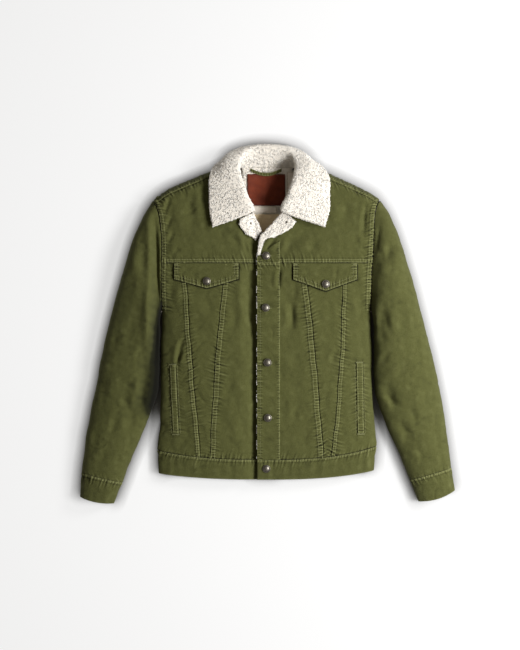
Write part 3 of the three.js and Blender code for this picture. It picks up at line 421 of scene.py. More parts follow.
def troughs(table, x, y):
    """How deep soft folds are: each fades at its ends, and one with a ridge stands up beside itself."""
    depth = np.zeros_like(x, float)
    for x0, y0, x1, y1, half, deep, *rest in table:
        bend, ridge = rest if len(rest) == 2 else (0, 0)
        dx, dy = x1 - x0, y1 - y0
        length = math.hypot(dx, dy)
        along = ((x - x0) * dx + (y - y0) * dy) / length**2
        there = np.clip(along, 0, 1)
        across = ((x - x0) * dy - (y - y0) * dx) / length - bend * 4 * there * (1 - there)
        shape = bell(across / half)
        if ridge:
            shape = shape - 0.5 * bell((across - ridge * 1.9 * half) / (1.2 * half))
        depth += deep * np.sin(np.pi * there) * shape
    return depth


def armhole_rise(t):
    """A quarter circle's rise that starts softly."""
    return round_rise(t) * smooth(t / ARMHOLE_SOFT_START)


def edge_top_z(y):
    return mix(SIDE_FOLD_SHARE * crown_z(y), ARMHOLE_TOP_Z, armhole_rise((y - ARMPIT_Y) / ARMHOLE_RISE_TOP))


def edge_bottom_z(y):
    return SIDE_FOLD_SHARE * crown_z(y) * (1 - armhole_rise((y - ARMPIT_Y) / ARMHOLE_RISE_BELOW))


def front_z(x, y):
    """The outer face of the front."""
    reach = np.minimum(1, np.abs(x) / edge_x(x, y))
    foot = edge_top_z(y)
    crown = foot + (crown_z(y) - foot) * np.sqrt(1 - reach**CROWN_POWER)
    fold = round_rise((shoulder_y(x) - y) / SHOULDER_FOLD_TOP)
    lain = SHOULDER_FOLD_Z + (crown - SHOULDER_FOLD_Z) * fold
    creases = CREASE_STRENGTH * troughs(BODY_CREASES, x, y)
    depth = troughs(FOLDS, x, y) * (1 - reach**8) + creases * (1 - reach**14)
    return lain - depth * fold


def back_z(x, y):
    """The outer face of the back, which lies flat but for its folds."""
    past = np.abs(x) - (edge_x(x, y) - SIDE_ROUND_BELOW)
    side = edge_bottom_z(y) * (1 - round_rise(1 - np.clip(past / SIDE_ROUND_BELOW, 0, 1)))
    below = (shoulder_y(x) - y) / SHOULDER_FOLD_BELOW
    fold = SHOULDER_FOLD_Z * (1 - round_rise(below)) * smooth((np.abs(x) - 45) / 28)
    return np.maximum(side, fold) + troughs(BACK_CREASES, x, y)


def stack(x, y, z):
    return np.stack(np.broadcast_arrays(x, y, z), axis=-1).astype(float)


def under_drop(x):
    beside_edge = UNDER_DIP * smooth((x - UNDER_DIP_FROM) / (UNDER_STEP[1] - UNDER_DIP_FROM))
    return UNDER_DROP * smooth((x - UNDER_STEP[0]) / (UNDER_STEP[1] - UNDER_STEP[0])) + beside_edge


def on_front(side, x, y):
    drop = under_drop(x) if side == "right" else 0
    return stack(x, y, front_z(x, y) - drop)


def on_back(x, y):
    return stack(x, y, back_z(x, y))


def plan_normal(face, x, y, h=0.8):
    """The upward normal of a face given as points over the plan."""
    across = face(x + h, y) - face(x - h, y)
    along = face(x, y + h) - face(x, y - h)
    n = np.cross(across, along)
    return n / np.linalg.norm(n, axis=-1, keepdims=True)


# Relief of the seams: how far the cloth stands out there, and its tone. The tone is painted light and shade:
# darker in grooves and valleys, lighter on pucker tops, and lighter on the edges, partly faded wear and
# partly painted highlight.
def rungs(s, seed):
    phase = 2 * np.pi * s / RUNG_PITCH + 1.3 * np.sin(s / 17 + seed) + 0.8 * np.sin(s / 7.3 + 2 * seed)
    return np.sin(phase) * (0.7 + 0.3 * np.sin(s / 13.7 + 4 * seed))


def puckers(s, d, seed):
    slant = s + 0.3 * d + 3 * np.sin(s / 47 + seed) * np.sin(d / 9)
    total = np.sin(2 * np.pi * slant / 8.3 + 1.7 * np.sin(s / 31 + seed))
    total += 0.6 * np.sin(2 * np.pi * slant / 13.1 + 3 * seed + 1.2 * np.sin(s / 23))
    total += 0.7 * np.sin(2 * np.pi * slant / 5.9 + 5 * seed + 0.9 * np.sin(s / 17))
    return total * (0.72 + 0.28 * np.sin(s / 41 + 5 * seed)) / 1.6


def pucker_reach(s, seed):
    """How far puckers run out from a seam: further in some places."""
    return 8 + 5 * np.clip(np.sin(s / 33 + 2.3 * seed) + 0.6 * np.sin(s / 14 + seed), 0, 1.4)


def felled(d, s, seed, wide=FELL_WIDE, strength=1.0):
    """A felled seam, d onto the side that laps, s along it."""
    lap = smooth((d + 0.2) / 1.1) * (1 - smooth((d - wide + 0.8) / 2.3))
    cut = 0.75 + 0.35 * np.sin(s / 19 + 3 * seed) * np.sin(s / 7.7 + seed)
    groove = bell((d + 0.3) / 0.85) * cut
    rows = bell((d - FELL_ROWS[0]) / 1.0) + bell((d - wide + 1.5) / 1.0)
    past = np.maximum(0, np.abs(d - wide / 2) - wide / 2)
    near = bell(past / pucker_reach(s, seed))
    rung = rungs(s, seed)
    pucker = puckers(s, d, seed)
    height = 0.75 * lap - 1.5 * groove - 0.3 * rows + 0.5 * rung * lap + PUCKER_DEPTH * pucker * near
    # Lighter fold edges, partly wear and partly painted highlight; painted shade in the groove and just past
    # the lap; the rungs and puckers get painted light on their tops and painted shade between them.
    bright = 0.7 * bell((d - 1.3) / 0.8) + 0.5 * bell((d - wide + 1.2) / 0.9)
    painted_dark = 1.15 * groove + 0.45 * bell((d - wide - 1.0) / 1.1)
    tone = bright + (0.8 * rung + 0.08) * lap + 0.5 * pucker * near - painted_dark
    return height * strength, tone * strength


def added(*parts):
    return sum(p[0] for p in parts), sum(p[1] for p in parts)


def within(part, mask):
    return part[0] * mask, part[1] * mask


def plain_relief(x, y, seed=0):
    """Cloth away from seams: it is never quite even."""
    fine = ripple(x, y, 17, 31 + seed)
    wide = ripple(x, y, 52, 11 + seed)
    line = ripple(x, y, 58, 91 + seed)
    crumple = bell(line / 0.3) * np.clip(ripple(x, y, 70, 23 + seed), 0, 1)
    height = 0.55 * wide + 0.18 * fine - 0.9 * crumple
    # The tone varies at random, and each crumple is painted darker: painted shade.
    return height, 0.07 * fine + 0.05 * ripple(x, y, 30, 57 + seed) - 0.14 * crumple


def flap_lower(side, u):
    """The lower edge of a flap, by the share of the way across."""
    x0, x1, _, corner_y, tip_x, tip_y = FLAPS[side]
    tip_share = (tip_x - x0) / (x1 - x0)
    near, far = u / tip_share, (u - tip_share) / (1 - tip_share)
    return np.where(u < tip_share, mix(corner_y, tip_y, near), mix(tip_y, corner_y, far))


def from_flap_edge(side, x, y):
    """How far inside a flap's free edges a place is, and the way along the nearest one."""
    x0, x1, _, corner_y, _, tip_y = FLAPS[side]
    u = (x - x0) / (x1 - x0)
    rise = math.cos(math.atan2(corner_y - tip_y, abs(x1 - x0) / 2))
    low = (y - flap_lower(side, np.clip(u, 0, 1))) * rise
    beside = np.minimum(abs(x1 - x0) * u, abs(x1 - x0) * (1 - u))
    return np.minimum(beside, low), np.where(low < beside, x, y)


def painted_flap_shadow(side, x, y):
    """Painted shadow: the darker line that a flap's edge casts on the cloth below it."""
    d, _ = from_flap_edge(side, x, y)
    return -1.25 * bell((d + 0.9) / 1.5) * smooth((FLAPS[side][2] - y) / 3)


def beside_welt(side, x, y):
    """The puckers that a welt draws into the cloth on both sides of it."""
    top_x, low_x, low_y, top_y, wide = WELTS[side]
    sign = SIDES[side]
    middle = mix(low_x, top_x, (y - low_y) / (top_y - low_y)) + sign * wide / 2
    off = np.abs(x - middle) - wide / 2
    there = between(y, low_y, top_y, 9)
    pucker = puckers(y, off, 5.1 + sign) * bell(np.maximum(0, off) / 13) * there
    # The puckers' tone follows their height, painted light and shade, and a painted shadow runs along the
    # welt's sides.
    return 1.3 * pucker, 0.42 * pucker - 0.8 * bell((off - 0.7) / 0.9) * there


def front_relief(x, y):
    a = np.abs(x)
    # Painted shadow along the pocket flaps' lower edges.
    shade = np.where(x >= 0, painted_flap_shadow("left", x, y), painted_flap_shadow("right", x, y))
    seed = np.where(x >= 0, 0.4, 2.1)
    body = between(y, HEM_SEAM_Y - 2, YOKE_SEAM_Y, 1.5)
    arm = smooth((y - ARMPIT_Y + 6) / 12)
    over_neck = smooth((a - 70) / 6)
    shoulder = y - (shoulder_y(x) - SHOULDER_SEAM_FROM_FOLD)
    return added(
        within(felled(inner_x(x, y) - a, y, seed, wide=INNER_WIDE), body),
        within(felled(a - outer_x(x, y), y, seed + 1.3), body),
        within(felled(y - YOKE_SEAM_Y, x, seed + 2.2, strength=0.78), np.ones_like(x)),
        within(felled(edge_x(x, y) - a, y, seed + 3.1, wide=9.5), arm),
        within(felled(shoulder, x, seed + 4.2, wide=6.5, strength=0.8), over_neck),
        within(felled(hem_seam_y(x) - y, x, seed + 5.0, wide=5.5, strength=0.8), np.ones_like(x)),
        beside_welt("left", x, y),
        beside_welt("right", x, y),
        (np.zeros_like(x), shade),
        plain_relief(x, y),
    )


def band_relief(x, y):
    """The waistband: pulled in by its top row, with soft upright puckers."""
    d = hem_seam_y(x) - y
    high = hem_seam_y(x) - hem_y(x)
    upright = np.sin(2 * np.pi * x / 19 + 2.1 * np.sin(x / 37)) + 0.7 * np.sin(2 * np.pi * x / 31 + 1.1)
    middle = np.sin(np.pi * np.clip(d / high, 0, 1))
    hem = bell((high - d - 1) / 1.4)
    height = 0.3 * upright * middle
    # The puckers' tone follows their height, painted light and shade, and the hem edge is lighter, partly
    # wear and partly painted highlight.
    return added(
        felled(d, x, 5.4, wide=5.5, strength=0.8),
        (height, 0.09 * upright * middle + 0.4 * hem),
        plain_relief(x, y, 3),
    )


def back_relief(x, y):
    """The back's seams, sunk into the cloth, whose face lies on the surface."""
    a = np.abs(x)
    body = between(y, HEM_SEAM_Y - 2, YOKE_SEAM_Y, 1.5)
    height, tone = added(
        within(felled(back_seam_x(y) - a, y, 1.7), body),
        felled(y - YOKE_SEAM_Y, x, 0.6),
        within(felled(edge_x(x, y) - a, y, 2.9, wide=9.5), smooth((y - ARMPIT_Y + 6) / 12)),
        felled(hem_seam_y(x) - y, x, 4.4, wide=5.5),
        plain_relief(x, y, 7),
    )
    return np.minimum(-0.45, height - 1.2), tone


def sewn_edge(d, s, seed, rows):
    """Cloth near a turned edge d away, with rows of stitches along it."""
    dips = sum(bell((d - row) / 0.9) for row in rows)
    near = 1 - smooth((d - rows[-1]) / 8)
    rung = rungs(s, seed)
    pucker = puckers(s, d, seed)
    height = -0.4 * dips + (0.4 * rung + 0.8 * pucker) * near
    # The turned edge is lighter, partly wear and partly painted highlight; the rungs and puckers get painted
    # light and shade with their height, and the stitch rows' dips painted shade.
    return height, 1.0 * bell((d - 0.5) / 1.1) + (0.65 * rung + 0.4 * pucker) * near - 0.15 * dips


# Meshes.
RIM_PLACES = (0.0, 0.35, 0.9, 1.6)
COARSE = 3


def lengths(points, axis):
    """Running length along an axis of a grid of points, from 0."""
    steps = np.linalg.norm(np.diff(points, axis=axis), axis=-1)
    start = np.zeros_like(np.take(steps, [0], axis=axis))
    return np.concatenate([start, np.cumsum(steps, axis=axis)], axis=axis)


def places(length, step, near, fine=1.15):
    """Shares of a length: close together at both ends, `fine` apart up to `near`, then `step` apart."""
    start = list(RIM_PLACES)
    while start[-1] + fine < near:
        start.append(start[-1] + fine)
    middle = max(1.0, length - 2 * start[-1])
    count = max(COARSE, round(middle / step))
    while (2 * (len(start) - 1) + count) % COARSE:
        count += 1
    start = np.array(start) * min(1, (length - middle) / 2 / start[-1])
    inner = np.linspace(start[-1], length - start[-1], count + 1)
    return np.concatenate([start[:-1], inner, (length - start[:-1])[::-1]]) / length


def grid_places(point, step, near):
    """Evenly spread shares along both ways of a face, from the lengths of its middle lines."""
    found = []
    t = np.linspace(0, 1, 501)
    half = np.full_like(t, 0.5)
    for k in range(2):
        line = point(t, half) if k == 0 else point(half, t)
        run = lengths(line, 0)
        share = places(run[-1], step[k], near[k])
        found.append(np.interp(share * run[-1], run, t))
    return found


def make_mesh(name, points, faces, materials, indices=None, **values):
    """A smooth mesh from points in millimetres, with a value for each point under each name in `values`."""
    mesh = bpy.data.meshes.new(name)
    mesh.from_pydata((np.asarray(points) * MM).tolist(), [], faces)
    for material in materials:
        mesh.materials.append(material)
    mesh.polygons.foreach_set("use_smooth", np.ones(len(faces), bool))
    if indices is not None:
        mesh.polygons.foreach_set("material_index", np.asarray(indices, np.int32))
    for key, value in values.items():
        layer = mesh.attributes.new(key, "FLOAT", "POINT")
        layer.data.foreach_set("value", np.asarray(value, np.float32))
    mesh.update()
    obj = bpy.data.objects.new(name, mesh)
    bpy.context.scene.collection.objects.link(obj)
    return obj


class Surface:
    """A face point(u, v) read on a grid, with its normals and the distances to its four sides."""

    def __init__(self, point, step, near=(2.4, 2.4), up=True, at=None):
        self.u, self.v = at or grid_places(point, step, near)
        u, v = np.meshgrid(self.u, self.v)
        self.grid_u, self.grid_v = u, v
        self.points = point(u.ravel(), v.ravel()).reshape(u.shape + (3,))
        across = np.gradient(self.points, axis=1)
        along = np.gradient(self.points, axis=0)
        n = np.cross(across, along)
        n /= np.maximum(1e-9, np.linalg.norm(n, axis=-1, keepdims=True))
        self.turned = (n[..., 2].mean() > 0) != up
        self.normals = -n if self.turned else n
        run_u, run_v = lengths(self.points, 1), lengths(self.points, 0)
        self.from_sides = [run_u, run_u[:, -1:] - run_u, run_v, run_v[-1:] - run_v]
        self.flat = (float(run_u[:, -1].max()) * MM, float(run_v[-1].max()) * MM)
        rising = self.points[1:, 1:] - self.points[:-1, :-1]
        falling = self.points[1:, :-1] - self.points[:-1, 1:]
        self.cells = np.linalg.norm(np.cross(rising, falling), axis=-1) / 2
        self.area = float(self.cells.sum()) * MM * MM

    @property
    def x(self):
        return self.points[..., 0]

    @property
    def y(self):
        return self.points[..., 1]

    def edge_drop(self, radii):
        """How far a face rounds down towards its sides."""
        drop = np.zeros(self.x.shape)
        for d, r in zip(self.from_sides, radii):
            if r > 0:
                drop = np.maximum(drop, r * (1 - round_rise(d / r)))
        return drop


SEAM = 0.9
FREE = 2.0


def shell(name, surface, relief, materials, outside=0.0, inside=-BODY_WALL, edges=(SEAM,) * 4, keep=None):
    """A closed wall of cloth on a surface: its outer face has the relief, its inner one is plainer.

    `edges` are the radii that the outer face rounds down with at u0, u1, v0 and v1. A free edge rounds inside
    too."""
    height, tone = relief
    s = surface
    outer = s.points + s.normals * (outside + height - s.edge_drop(edges))[..., None]
    free = [r if r >= FREE * 0.5 and r > SEAM else 0 for r in edges]
    inner = (s.points + s.normals * (inside + s.edge_drop(free) * 0.9)[..., None])[::COARSE, ::COARSE]
    rows, columns = s.x.shape
    number = np.arange(rows * columns).reshape(rows, columns)
    low_rows, low_columns = inner.shape[:2]
    low = rows * columns + np.arange(low_rows * low_columns).reshape(low_rows, low_columns)
    shown = np.ones((low_rows - 1, low_columns - 1), bool) if keep is None else keep
    fine = np.repeat(np.repeat(shown, COARSE, 0), COARSE, 1)
    quads = np.stack([number[:-1, :-1], number[:-1, 1:], number[1:, 1:], number[1:, :-1]], -1)[fine]
    backs = np.stack([low[:-1, :-1], low[1:, :-1], low[1:, 1:], low[:-1, 1:]], -1)[shown]
    rims = []
    padded = np.pad(shown, 1)
    for j, i in zip(*np.nonzero(shown)):
        a, b = j * COARSE, i * COARSE
        down, right = a + COARSE, b + COARSE
        if not padded[j, i + 1]:
            rims.append([*number[a, b : right + 1][::-1], low[j, i], low[j, i + 1]])
        if not padded[j + 2, i + 1]:
            rims.append([*number[down, b : right + 1], low[j + 1, i + 1], low[j + 1, i]])
        if not padded[j + 1, i]:
            rims.append([*number[a : down + 1, b], low[j + 1, i], low[j, i]])
        if not padded[j + 1, i + 2]:
            rims.append([*number[a : down + 1, right][::-1], low[j, i + 1], low[j + 1, i + 1]])
    faces = quads.tolist() + [[int(k) for k in rim] for rim in rims] + backs.tolist()
    if s.turned:
        faces = [face[::-1] for face in faces]
    second = len(materials) - 1
    indices = [0] * (len(quads) + len(rims)) + [second] * len(backs)
    points = np.concatenate([outer.reshape(-1, 3), inner.reshape(-1, 3)])
    tones = np.concatenate([tone.ravel(), np.zeros(low.size)])
    used = np.unique(np.concatenate([np.asarray(face) for face in (quads.ravel(), backs.ravel())]))
    if len(used) < len(points):
        place = np.full(len(points), -1)
        place[used] = np.arange(len(used))
        faces = [[int(place[k]) for k in face] for face in faces]
        points, tones = points[used], tones[used]
    return make_mesh(name, points, faces, materials, indices, tone=tones)


def tube_strands(centres, ups, radii, sides):
    """Points and faces of many short closed strands: centres is (strand, ring, 3)."""
    count, rings = centres.shape[:2]
    ahead = np.gradient(centres, axis=1)
    ahead /= np.maximum(1e-9, np.linalg.norm(ahead, axis=-1, keepdims=True))
    across = np.cross(ahead, ups)
    across /= np.maximum(1e-9, np.linalg.norm(across, axis=-1, keepdims=True))
    lift = np.cross(across, ahead)
    turn = 2 * np.pi * np.arange(sides) / sides
    ring = across[:, :, None] * np.cos(turn)[:, None] + lift[:, :, None] * np.sin(turn)[:, None]
    points = centres[:, :, None] + ring * radii[:, :, None, None]
    number = np.arange(count * rings * sides).reshape(count, rings, sides)
    after = np.roll(number, -1, axis=2)
    quads = np.stack([number[:, :-1], after[:, :-1], after[:, 1:], number[:, 1:]], -1).reshape(-1, 4)
    faces = quads.tolist() + number[:, 0, ::-1].tolist() + number[:, -1].tolist()
    return points.reshape(-1, 3), faces


def stitches(name, rows, material):
    """Threads along rows of points and normals, each stitch diving into the cloth at both ends."""
    centres, ups, radii = [], [], []
    share = np.array([-0.5, -0.28, 0.28, 0.5])
    sunk = np.array([-0.45, 0.12, 0.12, -0.45])
    for points, normals, *rest in rows:
        pitch, long, radius = rest or (STITCH_PITCH, STITCH_LONG, STITCH_RADIUS)
        run = lengths(points, 0)
        middle = np.arange(pitch / 2, run[-1] - pitch / 4, pitch)
        if not len(middle):
            continue
        at = middle[:, None] + share * long
        place = np.stack([np.interp(at, run, points[:, k]) for k in range(3)], -1)
        up = np.stack([np.interp(at, run, normals[:, k]) for k in range(3)], -1)
        centres.append(place + up * sunk[None, :, None] * radius / STITCH_RADIUS)
        ups.append(up)
        radii.append(np.tile(np.array([0.5, 1, 1, 0.5]) * radius, (len(middle), 1)))
    points, faces = tube_strands(np.concatenate(centres), np.concatenate(ups), np.concatenate(radii), 4)
    return make_mesh(name, points, faces, [material])


# Curls of sherpa: each strand stands up from the pile, bends over and comes back down.
CURL_RADIUS = 1.15
CURL_REACH = 1.2
CURL_SIDES = 4
CURL_LOWEST = 0.2
CURL_SUNK = 0.75


def curls(name, points, normals, material, seed, size=1.0):
    rng = np.random.default_rng(seed)
    count = len(points)
    lean = rng.normal(size=(count, 3))
    lean -= (lean * normals).sum(-1, keepdims=True) * normals
    lean /= np.linalg.norm(lean, axis=-1, keepdims=True)
    aside = np.cross(normals, lean)
    big = size * rng.uniform(0.7, 1.35, count)
    theta = np.array([-0.1, 1.4, 2.9])
    reach = CURL_REACH * big[:, None]
    over = reach * (1 - np.cos(theta)) - reach
    rise = reach * np.sin(theta) * 0.45
    twist = reach * 0.5 * np.sin(theta * 1.3) * rng.uniform(-1, 1, count)[:, None]
    centres = (
        points[:, None]
        + normals[:, None] * rise[..., None]
        + lean[:, None] * over[..., None]
        + aside[:, None] * twist[..., None]
    )
    radii = CURL_RADIUS * big[:, None] * np.array([0.75, 1.1, 0.75])
    clear = (centres[..., 2] - radii).min(axis=1) > CURL_LOWEST
    centres, radii, aside = centres[clear], radii[clear], aside[clear]
    count, rings = radii.shape
    ups = np.repeat(aside[:, None], rings, axis=1)
    strands, faces = tube_strands(centres, ups, radii, CURL_SIDES)
    shade = np.repeat(rng.uniform(-1, 1, count), rings * CURL_SIDES)
    # Each ring's height on its curl: the sherpa's colour uses it for painted light on the curl's top and
    # painted shade at its ends.
    high = np.tile(np.repeat(np.sin(np.clip(theta, 0, np.pi)), CURL_SIDES), count)
    return make_mesh(name, strands, faces, [material], shade=shade, high=high)


def scatter(surface, offset, per_mm2, seed, chance=None):
    """Places spread evenly over a surface, moved out along its normals, with those normals."""
    rng = np.random.default_rng(seed)
    weight = surface.cells * (1 if chance is None else (chance[1:, 1:] + chance[:-1, :-1]) / 2)
    count = int(weight.sum() * per_mm2)
    rows, columns = weight.shape
    cell = rng.choice(rows * columns, count, p=(weight / weight.sum()).ravel())
    j, i = cell // columns, cell % columns
    a, b = rng.random((2, count, 1))
    raised = surface.points + surface.normals * np.asarray(offset)[..., None]

    def read(grid):
        top = mix(grid[j, i], grid[j, i + 1], a)
        return mix(top, mix(grid[j + 1, i], grid[j + 1, i + 1], a), b)

    normal = read(surface.normals)
    return read(raised), normal / np.linalg.norm(normal, axis=-1, keepdims=True)


# Materials.
class Nodes:
    """A material's node tree, with short ways to add nodes and links."""

    def __init__(self, name):
        self.material = bpy.data.materials.new(name)
        self.material.use_nodes = True
        self.tree = self.material.node_tree
        self.shader = self.tree.nodes["Principled BSDF"]
        self.coords = self.add("ShaderNodeTexCoord").outputs["Object"]

    def add(self, kind, inputs=(), **settings):
        node = self.tree.nodes.new(kind)
        for key, value in settings.items():
            setattr(node, key, value)
        for key, value in dict(inputs).items():
            if isinstance(value, bpy.types.NodeSocket):
                self.tree.links.new(value, node.inputs[key])
            else:
                node.inputs[key].default_value = value
        return node

    def noise(self, scale, detail=3.0, roughness=0.55, vector=None):
        inputs = {"Vector": vector or self.coords, "Scale": scale, "Detail": detail, "Roughness": roughness}
        return self.add("ShaderNodeTexNoise", inputs).outputs["Fac"]

    def mapped(self, scale, rotation=(0, 0, 0)):
        inputs = {"Vector": self.coords, "Scale": scale, "Rotation": rotation}
        return self.add("ShaderNodeMapping", inputs).outputs["Vector"]

    def value(self, name):
        return self.add("ShaderNodeAttribute", attribute_name=name).outputs["Fac"]

    def reach(self, value, low, high, to_low=0.0, to_high=1.0):
        inputs = {"Value": value, "From Min": low, "From Max": high, "To Min": to_low, "To Max": to_high}
        return self.add("ShaderNodeMapRange", inputs).outputs["Result"]

    def blend(self, factor, a, b, kind="MIX"):
        node = self.add("ShaderNodeMix", data_type="RGBA", blend_type=kind)
        for key, value in ((0, factor), (6, a), (7, b)):
            if isinstance(value, bpy.types.NodeSocket):
                self.tree.links.new(value, node.inputs[key])
            else:
                node.inputs[key].default_value = value if key == 0 else (*value, 1)
        return node.outputs[2]

    def maths(self, operation, a, b):
        return self.add("ShaderNodeMath", {0: a, 1: b}, operation=operation).outputs[0]

    def bump(self, height, distance, strength=1.0, normal=None):
        inputs = {"Height": height, "Distance": distance, "Strength": strength}
        if normal:
            inputs["Normal"] = normal
        return self.add("ShaderNodeBump", inputs).outputs["Normal"]

    def finish(self, colour, normal=None, roughness=0.8, **settings):
        self.tree.links.new(colour, self.shader.inputs["Base Color"])
        if normal:
            self.tree.links.new(normal, self.shader.inputs["Normal"])
        if isinstance(roughness, bpy.types.NodeSocket):
            self.tree.links.new(roughness, self.shader.inputs["Roughness"])
        else:
            self.shader.inputs["Roughness"].default_value = roughness
        for key, value in settings.items():
            self.shader.inputs[key.replace("_", " ")].default_value = value
        return self.material


TWILL_DARK = (0.038, 0.0405, 0.0100)
TWILL_MAIN = (0.057, 0.0597, 0.0148)
# The faded colour: wear and random fading, and painted highlight where the tone is raised.
TWILL_FADE_AND_HIGHLIGHT = (0.18, 0.187, 0.074)
# The darkest colour: the weave's lines and painted shade; then near black for painted shadow.
TWILL_SHADE_AND_WEAVE = (0.010, 0.0105, 0.0028)
TWILL_PAINTED_SHADOW = (0.0018, 0.0018, 0.0006)
THREAD = (0.23, 0.236, 0.11)
SHERPA_PALE_AND_LIT = (0.72, 0.675, 0.605)
SHERPA_DARK_AND_SHADED = (0.685, 0.635, 0.56)
SHERPA_DULL = (0.66, 0.605, 0.53)
LINING_BROWN = (0.85, 0.68, 0.43)
LINING_PALE = ((0.5, 0.46, 0.4), (0.62, 0.58, 0.51))
LEATHER = ((0.095, 0.0155, 0.0048), (0.155, 0.027, 0.009))
LEATHER_EDGE = (0.06, 0.008, 0.004)
LABEL = ((0.62, 0.55, 0.47), (0.72, 0.66, 0.58))
METAL = ((0.27, 0.25, 0.21), (0.095, 0.085, 0.07))
METAL_RECESS = (0.04, 0.036, 0.028)
BROWN_THREAD = ((0.05, 0.012, 0.007), (0.1, 0.026, 0.014))
FLOOR_PALE = ((0.225, 0.225, 0.225), (0.23, 0.23, 0.23))
FLOOR_GLOW = 0.675
FLOOR_SHADE_REACH = 0.03


def twill_material():
    n = Nodes("olive_twill")
    dye = n.reach(n.noise(7, 3), 0.32, 0.68)
    mottle = n.reach(n.noise(150, 5, 0.65), 0.3, 0.7)
    fleck = n.reach(n.noise(460, 3, 0.75), 0.36, 0.64)
    colour = n.blend(n.maths("MULTIPLY", dye, 0.25), TWILL_MAIN, TWILL_DARK)
    colour = n.blend(n.maths("MULTIPLY", mottle, 0.08), colour, TWILL_FADE_AND_HIGHLIGHT)
    colour = n.blend(n.maths("MULTIPLY", fleck, 0.16), colour, TWILL_FADE_AND_HIGHLIGHT)
    tone = n.value("tone")
    # Positive tone lightens the cloth: faded wear on seam edges, and painted highlight on raised edges and
    # pucker tops.
    fade_and_highlight = n.maths("MULTIPLY", n.reach(tone, 0.02, 0.9), n.reach(n.noise(420, 3, 0.7), 0.25, 0.6, 0.35, 1.0))
    colour = n.blend(fade_and_highlight, colour, TWILL_FADE_AND_HIGHLIGHT)
    # Negative tone darkens it: painted shade in grooves, creases and pucker valleys, beside the body and
    # under the flaps, down to near black for the deepest painted shadow.
    colour = n.blend(n.reach(tone, -0.05, -0.9), colour, TWILL_SHADE_AND_WEAVE)
    colour = n.blend(n.reach(tone, -1.0, -1.9), colour, TWILL_PAINTED_SHADOW)
    wale = n.add(
        "ShaderNodeTexWave",
        {
            "Vector": n.mapped((1, 1, 0.3), (0, 0, math.radians(18))), "Scale": 520.0, "Distortion": 0.6,
            "Detail": 1.0,
        },
        bands_direction="DIAGONAL",
    ).outputs["Fac"]
    yarn = n.noise(1500, 2, 0.7)
    colour = n.blend(n.reach(wale, 0.0, 1.0, 0.0, 0.16), colour, TWILL_SHADE_AND_WEAVE)
    fabric = n.maths("ADD", n.maths("MULTIPLY", wale, 0.6), yarn)
    normal = n.bump(fabric, 0.0004, 0.55, n.bump(n.noise(230, 4, 0.6), 0.0008, 0.35))
    return n.finish(colour, normal, 0.92, Sheen_Weight=0.04, Sheen_Roughness=0.5, Specular_IOR_Level=0.15)


def thread_material():
    n = Nodes("olive_thread")
    colour = n.blend(n.noise(300, 2), tuple(0.75 * c for c in THREAD), THREAD)
    ply = n.add("ShaderNodeTexWave", {"Vector": n.coords, "Scale": 700.0}, bands_direction="DIAGONAL")
    return n.finish(colour, n.bump(ply.outputs["Fac"], 0.0003, 0.5), 0.7, Specular_IOR_Level=0.2)


def dark_thread_material():
    n = Nodes("brown_thread")
    colour = n.blend(n.noise(300, 2), *BROWN_THREAD)
    return n.finish(colour, n.bump(n.noise(900, 2), 0.0002, 0.4), 0.7)


def sherpa_material():
    n = Nodes("sherpa_pile")
    shade = n.reach(n.value("shade"), -1, 1)
    high = n.reach(n.value("high"), 0, 1)
    # Painted light and shade: each curl is lighter at its top and darker at its ends, where it goes down into
    # the pile.
    colour = n.blend(high, SHERPA_DARK_AND_SHADED, SHERPA_PALE_AND_LIT)
    colour = n.blend(n.maths("MULTIPLY", shade, 0.25), colour, SHERPA_DARK_AND_SHADED)
    colour = n.blend(n.reach(n.noise(45, 4), 0.4, 0.7, 0, 0.2), colour, SHERPA_DULL)
    normal = n.bump(n.noise(1300, 4, 0.7), 0.0005, 0.4)
    n.shader.inputs["Subsurface Radius"].default_value = (1.0, 0.95, 0.9)
    return n.finish(
        colour, normal, 0.95, Sheen_Weight=0.2, Sheen_Roughness=0.6, Specular_IOR_Level=0.1,
        Subsurface_Weight=0.7, Subsurface_Scale=0.006,
    )


def ground_material():
    n = Nodes("sherpa_ground")
    colour = n.blend(n.reach(n.noise(320, 4, 0.7), 0.3, 0.7), SHERPA_DARK_AND_SHADED, SHERPA_PALE_AND_LIT)
    colour = n.blend(n.reach(n.value("tone"), 0.0, -1.0), colour, LINING_BROWN)
    normal = n.bump(n.noise(480, 5, 0.75), 0.0012, 0.6)
    return n.finish(colour, normal, 0.95, Sheen_Weight=0.3, Sheen_Roughness=0.6)


def lining_material():
    n = Nodes("lining_cloth")
    colour = n.blend(n.reach(n.noise(60, 4), 0.3, 0.7), *LINING_PALE)
    normal = n.bump(n.noise(600, 4, 0.7), 0.0008, 0.5)
    return n.finish(colour, normal, 0.95, Sheen_Weight=0.2)


def leather_material():
    n = Nodes("brown_leather")
    colour = n.blend(n.reach(n.noise(34, 5, 0.6), 0.3, 0.7), *LEATHER)
    colour = n.blend(n.maths("MULTIPLY", n.reach(n.value("tone"), 0, 1), 0.6), colour, LEATHER_EDGE)
    grain = n.add("ShaderNodeTexVoronoi", {"Vector": n.coords, "Scale": 900.0}, feature="DISTANCE_TO_EDGE")
    height = n.maths("ADD", n.reach(grain.outputs["Distance"], 0, 0.12), n.noise(180, 4))
    roughness = n.reach(n.noise(90, 3), 0.3, 0.7, 0.55, 0.75)
    return n.finish(colour, n.bump(height, 0.0004, 0.5), roughness, Specular_IOR_Level=0.2)


